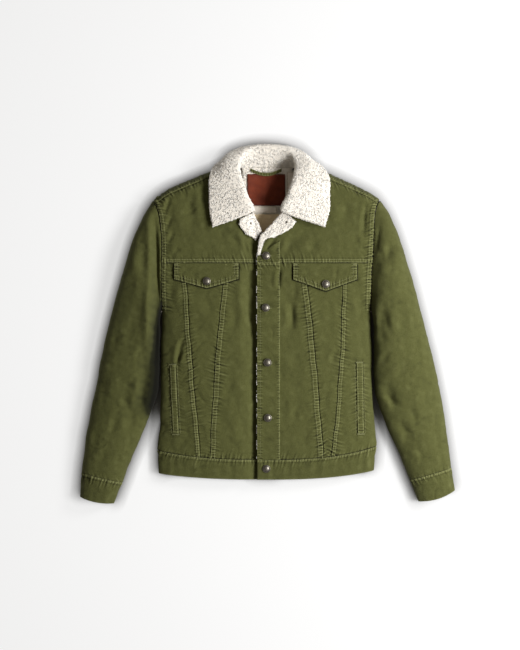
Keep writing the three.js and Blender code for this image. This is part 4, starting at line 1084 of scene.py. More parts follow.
def label_material():
    n = Nodes("woven_label")
    weave = n.add("ShaderNodeTexBrick", {"Vector": n.mapped((1400, 1400, 1400)), "Scale": 1.0})
    weave.inputs["Color1"].default_value = (1, 1, 1, 1)
    weave.inputs["Color2"].default_value = (0.8, 0.8, 0.8, 1)
    weave.inputs["Mortar"].default_value = (0.3, 0.3, 0.3, 1)
    colour = n.blend(n.reach(n.noise(120, 3), 0.3, 0.7), *LABEL)
    return n.finish(colour, n.bump(weave.outputs["Color"], 0.0002, 0.4), 0.75, Sheen_Weight=0.2)


def metal_material():
    n = Nodes("antiqued_metal")
    patina = n.reach(n.noise(420, 5, 0.65), 0.35, 0.7)
    colour = n.blend(patina, *METAL)
    colour = n.blend(n.reach(n.value("tone"), 0, 1, 0, 0.85), colour, METAL_RECESS)
    roughness = n.reach(patina, 0, 1, 0.36, 0.55)
    return n.finish(colour, n.bump(n.noise(900, 4), 0.0002, 0.3), roughness, Metallic=0.92)


def floor_material():
    n = Nodes("pale_floor")
    colour = n.blend(n.noise(3, 3), *FLOOR_PALE)
    # The floor's glow is dimmed by ambient occlusion near the jacket: painted shadow, deepest in narrow gaps.
    open_sky = n.add("ShaderNodeAmbientOcclusion", {"Distance": FLOOR_SHADE_REACH}).outputs["AO"]
    n.shader.inputs["Emission Color"].default_value = (1, 1, 1, 1)
    n.tree.links.new(n.reach(open_sky, 0.5, 1.0, 0.0, FLOOR_GLOW), n.shader.inputs["Emission Strength"])
    return n.finish(colour, n.bump(n.noise(160, 3), 0.0002, 0.2), 0.9, Specular_IOR_Level=0.1)


twill = twill_material()
thread = thread_material()
dark_thread = dark_thread_material()
sherpa = sherpa_material()
ground = ground_material()
lining = lining_material()
leather = leather_material()
label_cloth = label_material()
metal = metal_material()


def dress(obj, slot, *nodes):
    """Ties a piece to the jacket, in place of the solids it stands for."""
    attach(obj, "root")
    if nodes:
        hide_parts(*nodes)
    return obj


# Rows of stitches on the body's faces.
def front_row(side, x, y, lift=0.0, relief=front_relief):
    normal = plan_normal(lambda p, q: on_front(side, p, q), x, y)
    height, _ = relief(x, y)
    return on_front(side, x, y) + normal * (height + lift)[..., None], normal


def back_row(x, y):
    normal = -plan_normal(on_back, x, y)
    height, _ = back_relief(x, y)
    return on_back(x, y) + normal * (height - 0.12)[..., None], normal


def run(start, end, step=1.5):
    return np.linspace(start, end, max(3, int(abs(end - start) / step)))


# The panels below the yokes.
BODY_STEP = (1.9, 1.5)
BACK_STEP = (4.2, 3.4)


def lower_point(side, across, face):
    """A panel from the hem seam up to the yoke seam; across(u, y) gives x out from the middle."""

    def point(u, v):
        y = mix(HEM_SEAM_Y, YOKE_SEAM_Y, v)
        for _ in range(EDGE_ROUNDS):
            x = SIDES[side] * across(u, y)
            y = mix(hem_seam_y(x), YOKE_SEAM_Y, v)
        return face(x, y)

    return point


def make_lower_fronts(side):
    inner, outer, edge = inner_at[side], outer_at[side], edge_at[side]
    start = FRONT_EDGE_X if side == "left" else -UNDER_EDGE_X
    spans = {
        "front_centre": (lambda u, y: mix(start, inner(y), u), (FREE, SEAM, SEAM, SEAM)),
        "front_wedge": (lambda u, y: mix(inner(y), outer(y), u), (SEAM,) * 4),
        "front_side": (lambda u, y: mix(outer(y), edge(y), close_to_end(u)), (SEAM,) * 4),
    }
    y = run(HEM_SEAM_Y + 2, YOKE_SEAM_Y - 2)
    rows = {
        "front_centre": [SIDES[side] * (inner(y) - d) for d in INNER_ROWS],
        "front_side": [SIDES[side] * (outer(y) + d) for d in FELL_ROWS],
    }
    for name, (across, edges) in spans.items():
        surface = Surface(lower_point(side, across, lambda x, y: on_front(side, x, y)), BODY_STEP, (9.5, 2.4))
        relief = front_relief(surface.x, surface.y)
        obj = shell(f"{name}_{side}_cloth", surface, relief, [twill, lining], edges=edges)
        dress(obj, "twill", f"{name}_{side}")
        if name in rows:
            lines = [front_row(side, x, y) for x in rows[name]]
            dress(stitches(f"{name}_{side}_stitches", lines, thread), "twill")


def make_lower_back():
    def middle(u, v):
        y = mix(HEM_SEAM_Y, YOKE_SEAM_Y, v)
        for _ in range(EDGE_ROUNDS):
            x = mix(-back_seam_x(y), back_seam_x(y), u)
            y = mix(hem_seam_y(x), YOKE_SEAM_Y, v)
        return on_back(x, y)

    spans = {"back_centre": middle}
    for side in SIDES:
        edge = edge_at[side]
        spans[f"back_side_{side}"] = lower_point(
            side, lambda u, y, edge=edge: mix(back_seam_x(y), edge(y), close_to_end(u)), on_back
        )
    y = run(HEM_SEAM_Y + 2, YOKE_SEAM_Y - 2)
    for name, point in spans.items():
        surface = Surface(point, BACK_STEP, up=False)
        obj = shell(f"{name}_cloth", surface, back_relief(surface.x, surface.y), [twill, lining])
        dress(obj, "twill", name)
        if name == "back_centre":
            rows = [back_row(sign * (back_seam_x(y) - d), y) for sign in (-1, 1) for d in FELL_ROWS]
            dress(stitches("back_centre_stitches", rows, thread), "twill")


# The front waistband's columns are evenly spread up to here, then draw together towards the side.
BAND_EVEN_X = 90.0
BAND_EVEN_SHARE = 0.4


def make_waistband():
    def place(across, v):
        y = mix(HEM_Y, HEM_SEAM_Y, v)
        for _ in range(EDGE_ROUNDS):
            x = across(y)
            y = mix(hem_y(x), hem_seam_y(x), v)
        return x, y

    for side, sign in SIDES.items():
        start = FRONT_EDGE_X if side == "left" else -UNDER_EDGE_X
        edge = edge_at[side]

        def point(u, v):
            def across(y):
                even = mix(start, BAND_EVEN_X, u / BAND_EVEN_SHARE)
                drawn = close_to_end((u - BAND_EVEN_SHARE) / (1 - BAND_EVEN_SHARE))
                return sign * np.where(u < BAND_EVEN_SHARE, even, mix(BAND_EVEN_X, edge(y), drawn))

            return on_front(side, *place(across, v))

        surface = Surface(point, (1.9, 1.6), (2.4, 6))
        name = f"waistband_front_{side}"
        obj = shell(
            f"{name}_cloth", surface, band_relief(surface.x, surface.y), [twill, twill], inside=-BAND_WALL,
            edges=(FREE, SEAM, FREE, SEAM),
        )
        dress(obj, "twill", name)
        x = sign * run(start + 2, 226)
        row = front_row(side, x, hem_seam_y(x) - FELL_ROWS[0], relief=band_relief)
        sewn = dress(stitches(f"{name}_stitches", [row], thread), "twill")

    def back(u, v):
        def across(y):
            return mix(-edge_at["right"](y), edge_at["left"](y), close_to_both(u))

        return on_back(*place(across, v))

    surface = Surface(back, (3.4, 2.6), up=False)
    height, tone = band_relief(surface.x, surface.y)
    relief = (np.minimum(-0.45, height - 1.2), tone)
    edges = (SEAM, SEAM, FREE, SEAM)
    obj = shell("waistband_back_cloth", surface, relief, [twill, twill], inside=-BAND_WALL, edges=edges)
    dress(obj, "twill", "waistband_back")


def armhole_x(side, below_fold):
    x = 240.0
    for _ in range(ARMHOLE_ROUNDS):
        x = float(edge_at[side](shoulder_at[side](x) - below_fold))
    return x


def yoke_point(side):
    neck_x, neck_y = curve(NECKLINE[side], 0, 1), curve(NECKLINE[side], 0, 2)
    top_x = armhole_x(side, SHOULDER_SEAM_FROM_FOLD)
    top_y = float(shoulder_at[side](top_x)) - SHOULDER_SEAM_FROM_FOLD

    def neck(v):
        return neck_x(v), neck_y(v)

    def armhole(v):
        y = mix(YOKE_SEAM_Y, top_y, v)
        return edge_at[side](y), y

    def bottom(u):
        return mix(neck(0.0)[0], armhole(0.0)[0], u), np.full_like(u, YOKE_SEAM_Y)

    def top(u):
        x = mix(neck(1.0)[0], top_x, u)
        return x, shoulder_at[side](x) - SHOULDER_SEAM_FROM_FOLD

    def point(u, v):
        sides = [neck(v), armhole(v), bottom(u), top(u), neck(0.0), armhole(0.0), neck(1.0), armhole(1.0)]
        x, y = (
            mix(a, b, u) + mix(c, d, v) - mix(mix(p, q, u), mix(r, t, u), v)
            for a, b, c, d, p, q, r, t in zip(*sides)
        )
        return on_front(side, SIDES[side] * x, y)

    return point


def make_front_yokes():
    for side, sign in SIDES.items():
        surface = Surface(yoke_point(side), (1.9, 1.9), (9.5, 9.5))
        relief = front_relief(surface.x, surface.y)
        edges = (FREE, SEAM, SEAM, SEAM)
        obj = shell(f"front_yoke_{side}_cloth", surface, relief, [twill, lining], edges=edges)
        dress(obj, "twill", f"front_yoke_{side}")
        start = FRONT_EDGE_X if side == "left" else UNDER_EDGE_X + 4
        across = sign * run(start + 2 if side == "left" else start, 216)
        y = run(ARMPIT_Y + 4, 240)
        rows = [front_row(side, across, np.full_like(across, YOKE_SEAM_Y + d)) for d in FELL_ROWS]
        rows += [front_row(side, sign * (edge_at[side](y) - d), y) for d in (2.2, 8.0)]
        sewn = dress(stitches(f"front_yoke_{side}_stitches", rows, thread), "twill")


# The back yoke's bands: over the fold, round it and flat below, and how far down its neck is cut. Its neck's
# share of the width, and the grid's places across and along.
YOKE_ROWS = (3, 4, 6)
YOKE_NECK_CUT = 3
YOKE_NECK_SHARE = 0.34
YOKE_ACROSS = (61, 46, 61)
YOKE_ALONG = (13, 16, 61)


def make_back_yoke():
    rows = sum(YOKE_ROWS)
    last_y = {}
    for side in SIDES:
        last_y[side] = float(shoulder_at[side](armhole_x(side, SHOULDER_FOLD_BELOW))) - SHOULDER_FOLD_BELOW
    depths = np.linspace(0, SHOULDER_FOLD_BELOW, 60)
    arm = {side: [armhole_x(side, d) for d in depths] for side in SIDES}

    def point(u, v):
        row = v * rows
        on_top = row < YOKE_ROWS[0]
        flat = np.clip((row - YOKE_ROWS[0] - YOKE_ROWS[1]) / YOKE_ROWS[2], 0, 1)
        below = np.clip((row - YOKE_ROWS[0]) / YOKE_ROWS[1], 0, 1)
        depth = np.where(
            on_top,
            SHOULDER_SEAM_FROM_FOLD * (1 - close_to_end(row / YOKE_ROWS[0])),
            SHOULDER_FOLD_BELOW * (1 - close_to_end(1 - below)),
        )
        out = np.abs(u - 0.5) * 2
        result = []
        for side, sign in SIDES.items():
            lower = edge_at[side](mix(last_y[side], YOKE_SEAM_Y, flat))
            arm_x = np.where(flat > 0, lower, np.interp(depth, depths, arm[side]))
            beyond = (out - YOKE_NECK_SHARE) / (1 - YOKE_NECK_SHARE)
            x = np.where(
                out <= YOKE_NECK_SHARE,
                out / YOKE_NECK_SHARE * NECK_HALF_WIDTH,
                mix(NECK_HALF_WIDTH, arm_x, beyond),
            )
            y = mix(shoulder_at[side](x) - depth, YOKE_SEAM_Y, flat)
            result.append((sign * x, y))
        x, y = (np.where(u >= 0.5, a, b) for a, b in zip(*result))
        return stack(x, y, np.where(on_top, front_z(x, y), back_z(x, y)))

    def stretches(stops, counts):
        """Shares from stop to stop, each stretch with its own count of places."""
        ends = zip(stops[:-1], stops[1:], counts)
        return np.concatenate([np.linspace(a, b, n)[:-1] for a, b, n in ends] + [[1.0]])

    half = (1 - YOKE_NECK_SHARE) / 2
    cut = (YOKE_ROWS[0] + YOKE_NECK_CUT) / rows
    fold = YOKE_ROWS[0] / rows
    u = stretches((0, half, 1 - half, 1), YOKE_ACROSS)
    v = stretches((0, fold, cut, 1), YOKE_ALONG)
    surface = Surface(point, None, up=False, at=(u, v))
    low_u, low_v = u[::COARSE][:-1] + 1e-6, v[::COARSE][:-1] + 1e-6
    in_neck = (low_u[None, :] > half) & (low_u[None, :] < 1 - half) & (low_v[:, None] < cut)
    top = surface.grid_v <= fold
    front, back = front_relief(surface.x, surface.y), back_relief(surface.x, surface.y)
    relief = tuple(np.where(top, a, b) for a, b in zip(front, back))
    obj = shell("back_yoke_cloth", surface, relief, [twill, lining], keep=~in_neck)
    dress(obj, "twill", "back_yoke")
    rows = []
    for sign in (-1, 1):
        x = sign * run(84, 232)
        rows.append(front_row("left", x, shoulder_y(x) - SHOULDER_SEAM_FROM_FOLD + 2.2))
    across = run(-214, 214)
    rows += [back_row(across, np.full_like(across, YOKE_SEAM_Y + d)) for d in FELL_ROWS]
    sewn = dress(stitches("back_yoke_stitches", rows, thread), "twill")


# Sleeves and cuffs.
def section(row, sign, w, over):
    far_x, far_y, near_x, near_y, high = row
    reach = np.abs(2 * w - 1)
    low = SIDE_FOLD_SHARE * high
    under = np.clip((reach - SLEEVE_FLAT_SHARE) / (1 - SLEEVE_FLAT_SHARE), 0, 1)
    top = low + (high - low) * np.sqrt(1 - reach**SLEEVE_POWER)
    z = top if over else low * (1 - np.sqrt(1 - under * under))
    return stack(sign * mix(far_x, near_x, w), mix(far_y, near_y, w), z)


def sleeve_point(side, over):
    sign = SIDES[side]
    table = [(i / (len(SLEEVE[side]) - 1), *row) for i, row in enumerate(SLEEVE[side])]
    read = [curve(table, 0, k) for k in range(1, 6)]
    top_y = float(shoulder_at[side](armhole_x(side, 0) + ARMHOLE_GAP + SHOULDER_POINT_GAP))

    def seam(w):
        y = mix(top_y, ARMPIT_Y, w)
        x = sign * (edge_at[side](y) + ARMHOLE_GAP + SHOULDER_POINT_GAP * (1 - w) ** 8)
        return stack(x, y, front_z(x, y) if over else back_z(x, y))

    def point(u, v):
        w = close_to_both(u)
        p = section([key(v) for key in read], sign, w, over)
        fade = (1 - np.clip(v / SEAM_FADE, 0, 1)) ** 2
        p = p + (seam(w) - section([key(0.0) for key in read], sign, w, over)) * fade[..., None]
        if over:
            reach = np.abs(2 * w - 1)
            x, y = p[..., 0], p[..., 1]
            start = smooth(v / 0.05)
            p[..., 2] -= troughs(FOLDS, x, y) * (1 - fade) * (1 - reach**6)
            p[..., 2] -= SLEEVE_CREASE_STRENGTH * troughs(SLEEVE_CREASES, x, y) * start * (1 - reach**10)
        return p

    return point


def make_sleeve(side):
    for over in (True, False):
        name = f"sleeve_{'top' if over else 'under'}_{side}"
        point = sleeve_point(side, over)
        surface = Surface(point, (2.2, 2.2) if over else (4.2, 4.2), up=over)
        height, tone = plain_relief(surface.x, surface.y, 13)
        from_seam, from_cuff = surface.from_sides[2], surface.from_sides[3]
        pucker = puckers(surface.y, from_seam, 3.7 * SIDES[side]) * bell(from_seam / 7)
        gather = puckers(surface.x, from_cuff, 1.9) * bell(from_cuff / 8)
        height = height + 0.8 * pucker + 0.6 * gather
        # The puckers' tone follows their height: painted light on their tops and painted shade between them.
        tone = tone + 0.35 * pucker + 0.3 * gather
        if over:
            # Painted shade: the sleeve is darkened along its edge beside the body, which shades it.
            low_y, high_y, wide, painted_dark = SLEEVE_PAINTED_SHADE[side]
            inward = surface.from_sides[1] / wide
            shade = bell(inward) + 0.3 * bell(inward / 2.5)
            tone = tone - painted_dark * shade * smooth((surface.y - low_y) / 60) * smooth((high_y - surface.y) / 70)
        else:
            height = np.minimum(-0.45, height - 1.0)
        obj = shell(f"{name}_cloth", surface, (height, tone), [twill, lining], inside=-SLEEVE_WALL)
        dress(obj, "twill", name)


def make_cuff(side):
    sign = SIDES[side]
    for over in (True, False):

        def point(u, v):
            row = [mix(a, b, v) for a, b in zip(SLEEVE[side][-1], CUFF_END[side])]
            w = close_to_both(u)
            bow = CUFF_BOW[side] * v * np.sin(np.pi * w)
            return section(row, sign, w, over) + stack(sign * bow * CUFF_LEAN, -bow, 0 * bow)

        name = f"cuff_{'top' if over else 'under'}_{side}"
        surface = Surface(point, (1.9, 1.7) if over else (3.4, 3.0), (2.4, 6), up=over)
        seam, end = surface.from_sides[2], surface.from_sides[3]
        s = surface.from_sides[0]
        fell = felled(seam, s, 6.1 + sign, wide=5.5)
        upright = np.sin(2 * np.pi * s / 17 + 1.5 * np.sin(s / 21)) * 0.22
        # Painted light and shade with the upright puckers' height, and a lighter hem edge, partly wear and
        # partly painted highlight.
        hem = (upright, 0.3 * upright + 0.4 * bell((end - 1) / 1.4))
        relief = added(fell, hem, plain_relief(surface.x, surface.y, 21))
        if not over:
            relief = (np.minimum(-0.45, relief[0] - 1.2), relief[1])
        edges = (SEAM, SEAM, SEAM, FREE)
        obj = shell(f"{name}_cloth", surface, relief, [twill, twill], inside=-SLEEVE_WALL, edges=edges)
        dress(obj, "twill", name)
        if over:
            row = int(np.argmin(np.abs(seam.mean(axis=1) - FELL_ROWS[0])))
            at = surface.points[row] + surface.normals[row] * relief[0][row][:, None]
            dress(stitches(f"{name}_stitches", [(at, surface.normals[row])], thread), "twill")


# What lies on the fronts.
def make_placket():
    def point(u, v):
        x = mix(FRONT_EDGE_X, PLACKET_SEAM_X, u)
        top = PLACKET_TOP_Y + PLACKET_TOP_SLOPE * (x - FRONT_EDGE_X)
        return on_front("left", x, mix(hem_seam_y(x) + SEAM_GAP, top, v))

    rows = {"edge": 7.0, "seam": 2.2}

    def relief(x, y):
        edge = sewn_edge(x - FRONT_EDGE_X, y, 0.9, (rows["edge"],))
        seam = sewn_edge(PLACKET_SEAM_X - x, y, 2.4, (rows["seam"],))
        pulls = np.zeros_like(x)
        for bx, by in PLACKET_BUTTONS:
            r = np.hypot(x - bx, (y - by) * 1.4)
            turn = np.arctan2(y - by, x - bx)
            pulls += bell((r - 11) / 8) * (0.35 * np.sin(5 * turn + by) - 0.4)
        share = np.clip((x - FRONT_EDGE_X) / (PLACKET_SEAM_X - FRONT_EDGE_X), 0, 1)
        upright = 0.25 * np.sin(2 * np.pi * y / 26 + 1.7 * np.sin(y / 40)) * np.sin(np.pi * share)
        cross = felled(y - PLACKET_CROSS_Y, x, 1.7, wide=6.5, strength=0.75)
        drawn = (pulls + upright, 0.25 * pulls + 0.2 * upright)
        return added(edge, seam, cross, drawn, plain_relief(x, y, 5))

    surface = Surface(point, (1.6, 1.5), (4, 2.4))
    top = SEAM_GAP + PLACKET_WALL
    obj = shell(
        "placket_cloth", surface, relief(surface.x, surface.y), [twill, twill], outside=top, inside=SEAM_GAP,
        edges=(1.2, 1.2, 0.5, 1.2),
    )
    dress(obj, "twill", "placket")
    sewn_rows = []
    for x0 in (FRONT_EDGE_X + rows["edge"], PLACKET_SEAM_X - rows["seam"]):
        y = run(HEM_SEAM_Y + 4, PLACKET_TOP_Y + PLACKET_TOP_SLOPE * (x0 - FRONT_EDGE_X) - 2)
        sewn_rows.append(front_row("left", np.full_like(y, x0), y, top, relief))
    x = run(FRONT_EDGE_X + 2, PLACKET_SEAM_X - 2)
    for d in (1.9, 5.2):
        sewn_rows.append(front_row("left", x, np.full_like(x, PLACKET_CROSS_Y + d), top, relief))
    for bx, by in PLACKET_BUTTONS:
        for off in (-BUTTONHOLE_OFF, BUTTONHOLE_OFF):
            x = run(bx - BUTTONHOLE_HALF, bx + BUTTONHOLE_HALF, 0.8)
            at, up = front_row("left", x, np.full_like(x, by + off), top, relief)
            sewn_rows.append((at, up, *BUTTONHOLE_THREAD))
    sewn = dress(stitches("placket_stitches", sewn_rows, thread), "twill")


def bar_tack(side, x, y, turn, lift, relief, long=8.0, wide=1.9):
    """A short dense bar of thread across the end of a seam."""
    rows = []
    for off in np.linspace(-wide / 2, wide / 2, 3):
        s = np.linspace(-long / 2, long / 2, 12)
        px = x + s * math.cos(turn) - off * math.sin(turn)
        py = y + s * math.sin(turn) + off * math.cos(turn)
        at, up = front_row(side, px, py, lift, relief)
        rows.append((at, up, *BAR_TACK_THREAD))
    return rows


def make_flaps():
    for side in SIDES:
        x0, x1, top_y, corner_y, tip_x, tip_y = FLAPS[side]

        def lower(u, side=side):
            return flap_lower(side, u)

        def point(u, v):
            return on_front(side, mix(x0, x1, u), mix(lower(u), top_y, v))

        def relief(x, y):
            d, s = from_flap_edge(side, x, y)
            crease = -troughs(FLAP_CREASES, x, y)
            # The creases are painted darker too: painted shade.
            return added(sewn_edge(d, s, 1.1, FLAP_ROWS), (crease, 0.15 * crease), plain_relief(x, y, 9))

        surface = Surface(point, (1.5, 1.5), (4, 4))
        lift = SEAM_GAP + FLAP_LIFT * (1 - surface.grid_v)
        obj = shell(
            f"pocket_flap_{side}_cloth", surface, relief(surface.x, surface.y), [twill, twill],
            outside=lift + FLAP_WALL, inside=lift, edges=(1.25, 1.25, 1.25, 0.8),
        )
        dress(obj, "twill", f"pocket_flap_{side}")
        rows = []
        sign = 1 if x1 > x0 else -1
        for d in FLAP_ROWS:
            low = d / FLAP_EDGE_SLOPE
            corners = [
                (x0 + sign * d, top_y - 1), (x0 + sign * d, corner_y + low - d * 0.3), (tip_x, tip_y + low),
                (x1 - sign * d, corner_y + low - d * 0.3), (x1 - sign * d, top_y - 1),
            ]
            for (ax, ay), (bx, by) in zip(corners[:-1], corners[1:]):
                t = run(0, math.hypot(bx - ax, by - ay)) / math.hypot(bx - ax, by - ay)
                x, y = mix(ax, bx, t), mix(ay, by, t)
                v = (y - lower((x - x0) / (x1 - x0))) / (top_y - lower((x - x0) / (x1 - x0)))
                height = SEAM_GAP + FLAP_LIFT * (1 - v) + FLAP_WALL
                rows.append(front_row(side, x, y, height, relief))
        for x in (x0 + sign * 4, x1 - sign * 4):
            rows += bar_tack(side, x, top_y - 3, 0, SEAM_GAP + FLAP_WALL + 0.3, relief)
        sewn = dress(stitches(f"pocket_flap_{side}_stitches", rows, thread), "twill")


def make_welts():
    for side, sign in SIDES.items():
        top_x, low_x, low_y, top_y, wide = WELTS[side]

        def point(u, v):
            return on_front(side, mix(low_x, top_x, v) + sign * u * wide, mix(low_y, top_y, v))

        def relief(x, y):
            across = sign * (x - mix(low_x, top_x, (y - low_y) / (top_y - low_y)))
            d = np.minimum(across, wide - across)
            return added(sewn_edge(d, y, 1.6, (1.9,)), plain_relief(x, y, 15))

        surface = Surface(point, (1.5, 1.5))
        top = SEAM_GAP + WELT_WALL
        obj = shell(
            f"pocket_welt_{side}_cloth", surface, relief(surface.x, surface.y), [twill, twill], outside=top,
            inside=SEAM_GAP, edges=(0.95,) * 4,
        )
        dress(obj, "twill", f"pocket_welt_{side}")
        y = run(low_y + 2, top_y - 2)
        middle = mix(low_x, top_x, (y - low_y) / (top_y - low_y))
        rows = [front_row(side, middle + sign * d, y, top, relief) for d in (1.9, wide - 1.9)]
        rows += [front_row(side, middle + sign * d, y) for d in (-3.5, wide + 3.5)]
        for y0, x0 in ((low_y, low_x), (top_y, top_x)):
            rows += bar_tack(side, x0 + sign * wide / 2, y0, 0, top, relief, long=wide + 3)
        sewn = dress(stitches(f"pocket_welt_{side}_stitches", rows, thread), "twill")


# Sherpa.
CURL_SPACING = 2.55
RIM_CURL_SPACING = 2.2
CURLS_PER_MM2 = 1 / CURL_SPACING**2


def lumps(points, size, seed):
    """The pile's soft lumps."""
    x, y, z = (points[..., k] for k in range(3))
    return (ripple(x + 0.5 * z, y - 0.7 * z, size, seed) + ripple(y + z, x - z, size * 0.7, seed + 1)) / 2


PILE_STEP_BACK = 0.6


def pile(name, surface, top, bottom, seed, chance=None, edges=(2.6,) * 4, under=0.0, tone=0.0):
    """A wall of sherpa with its curls on top, and fewer of them underneath where `under` says so."""
    outside = top - PILE_STEP_BACK
    height = 0.4 * lumps(surface.points, 8, seed)
    relief = (height, np.zeros_like(height) + tone)
    obj = shell(
        f"{name}_ground", surface, relief, [ground, ground], outside=outside, inside=bottom + 0.4, edges=edges
    )
    dress(obj, "sherpa", name)
    drop = surface.edge_drop(edges)
    at, up = scatter(surface, outside - CURL_SUNK + height - drop, CURLS_PER_MM2, seed, chance)
    for k, inward in enumerate((1, -1, 1, -1)):
        axis = 1 if k < 2 else 0
        away = np.gradient(surface.points, axis=axis)
        away /= np.maximum(1e-9, np.linalg.norm(away, axis=-1, keepdims=True))
        rim = surface.from_sides[k] < 0.5
        side_line = (slice(None), 0) if axis else (0, slice(None))
        count = int(lengths(surface.points, 1 - axis)[side_line].max() / RIM_CURL_SPACING)
        rng = np.random.default_rng(seed + 40 + k)
        pick = rng.choice(np.flatnonzero(rim.ravel()), count)
        out = -inward * away.reshape(-1, 3)[pick]
        level = rng.uniform(bottom + 1.5, top - 2, count)[:, None]
        place = surface.points.reshape(-1, 3)[pick] + surface.normals.reshape(-1, 3)[pick] * level
        at = np.concatenate([at, place - out * 0.8])
        up = np.concatenate([up, out])
    if under:
        low, down = scatter(surface, bottom + 0.6 + surface.edge_drop(edges), CURLS_PER_MM2 * under, seed + 9)
        at, up = np.concatenate([at, low]), np.concatenate([up, -down])
    tufts = dress(curls(f"{name}_curls", at, up, sherpa, seed), "sherpa")
    return obj, tufts


def make_collar():
    flipped = [[(-x * w, y, z) for w, (x, y, z) in zip((1, 1, row[0], row[0]), row[1:])] for row in COLLAR]
    strips = np.array([list(row[1:]) for row in COLLAR[:0:-1]] + flipped, float)

    def point(u, v):
        across = spline(strips, u)
        result = np.empty((len(u), 3))
        for level in np.unique(v):
            which = np.flatnonzero(v == level)
            result[which] = spline(np.moveaxis(across[which], 1, 0), np.array([level]))[0]
        return result

    surface = Surface(point, (2.3, 2.0), (2.4, 2.4))
    half = COLLAR_WALL / 2
    obj, tufts = pile("collar", surface, half, -half, 5, edges=(3.2,) * 4, under=0.25)


def make_lapels():
    for side, sign in SIDES.items():
        roll_x, roll_y, low_x, low_y = (curve(LAPELS[side], 0, k) for k in range(1, 5))

        def point(u, v):
            return on_front(side, sign * mix(roll_x(u), low_x(u), v), mix(roll_y(u), low_y(u), v))

        surface = Surface(point, (2.0, 1.8))
        lift = LAPEL_LIFT[side]
        obj, tufts = pile(f"lapel_{side}", surface, lift + LAPEL_WALL, lift, 21 + sign)


def flat_point(area, z):
    x0, x1, y0, y1 = area
    return lambda u, v: stack(mix(x0, x1, u), mix(y0, y1, v), z + 0 * u)


def make_lining():
    surface = Surface(flat_point(LINING, LINING_Z), (2.6, 2.6))
    seen = smooth((surface.y - NECK_FACING_Y) / 2)
    x0, x1, y0, y1 = PATCH
    under_patch_x = (surface.x > x0 + 4) & (surface.x < x1 - 4)
    under_patch_y = (surface.y > y0 + 4) & (surface.y < y1 - 4)
    chance = np.where(under_patch_x & under_patch_y, 0.0, seen)
    obj, tufts = pile("back_lining", surface, LINING_WALL, 0, 33, chance, tone=-1.0 * (1 - seen))


def make_front_edge_pile():
    """The lining's pile that peeps out along the front edge."""
    rng = np.random.default_rng(77)
    y = rng.uniform(HEM_SEAM_Y + 4, 150, 900)
    thick = np.sin(y / 5.3) + 0.8 * np.sin(y / 2.9 + 1) + 0.5 * np.sin(y / 23)
    y = y[thick > rng.uniform(-0.6, 1.4, len(y))]
    at = on_front("left", np.full_like(y, FRONT_EDGE_X), y)
    at[:, 0] += rng.uniform(-1.1, -0.2, len(y))
    at[:, 2] += rng.uniform(-0.6, 1.5, len(y))
    up = np.tile([-0.7, 0.0, 0.71], (len(y), 1))
    dress(curls("front_edge_curls", at, up, sherpa, 78, size=0.62), "sherpa")


def make_neck_pieces():
    on_lining = LINING_Z + LINING_WALL + SEAM_GAP
    flats = [
        ("neck_patch", PATCH, LABEL_WALL * 1.5, leather, "patch", 2.2),
        ("size_label", SIZE_LABEL, LABEL_WALL, label_cloth, "label", 1.6),
        ("side_label", SIDE_LABEL, LABEL_WALL, label_cloth, "label", 1.6),
    ]
    for k, (name, area, thick, material, slot, inset) in enumerate(flats):
        surface = Surface(flat_point(area, on_lining), (1.5, 1.5))
        x, y = surface.x, surface.y
        d = np.minimum.reduce(surface.from_sides)
        height = 0.25 * ripple(x, y, 34, 60 + k) - 0.12 * bell((d - inset) / 0.8)
        tone = 0.7 * bell(d / 2.0) + 0.3 * np.clip(ripple(x, y, 26, 70 + k), 0, 1)
        obj = shell(
            f"{name}_piece", surface, (height, tone), [material, material], outside=thick, inside=0,
            edges=(0.5,) * 4,
        )
        dress(obj, slot, name)
        x0, x1, y0, y1 = area[0] + inset, area[1] - inset, area[2] + inset, area[3] - inset
        corners = [(x0, y0), (x1, y0), (x1, y1), (x0, y1), (x0, y0)]
        rows = []
        for (ax, ay), (bx, by) in zip(corners[:-1], corners[1:]):
            t = np.linspace(0, 1, 40)
            at = stack(mix(ax, bx, t), mix(ay, by, t), on_lining + thick)
            rows.append((at, np.tile([0.0, 0.0, 1.0], (40, 1))))
        seams = dark_thread if name == "neck_patch" else thread
        sewn = dress(stitches(f"{name}_stitches", rows, seams), slot)

    def loop(u, v):
        arch = np.sin(np.pi * u)
        x0, x1, y0, y1 = LOOP
        return stack(mix(x0, x1, u), mix(y0, y1, v) - LOOP_DIPS * arch, on_lining + LOOP_STANDS * arch)

    surface = Surface(loop, (1.4, 0.9))
    relief = sewn_edge(np.minimum(*surface.from_sides[2:]), surface.x, 2.2, (1.2,))
    obj = shell(
        "hanger_loop_cloth", surface, relief, [twill, twill], outside=LOOP_WALL, inside=0, edges=(0.85,) * 4
    )
    dress(obj, "twill", "hanger_loop")


# Buttons: a turned face with a rim, a ring and a dome, as shares of the radius, heights and tones.
BUTTON_PROFILE = [
    (0.0, 0.0, 0), (0.8, 0.0, 0), (0.93, 0.5, 0), (1.0, 1.3, 0), (1.0, 2.0, 0), (0.965, 2.7, 0.1),
    (0.9, 3.05, 0.2), (0.83, 3.0, 0.9), (0.78, 2.85, 1), (0.73, 3.0, 0.9), (0.68, 3.4, 0.3),
    (0.6, 3.95, 0.1), (0.48, 4.45, 0), (0.34, 4.8, 0), (0.18, 5.05, 0), (0.0, 5.15, 0),
]
BUTTON_SEGMENTS = 48


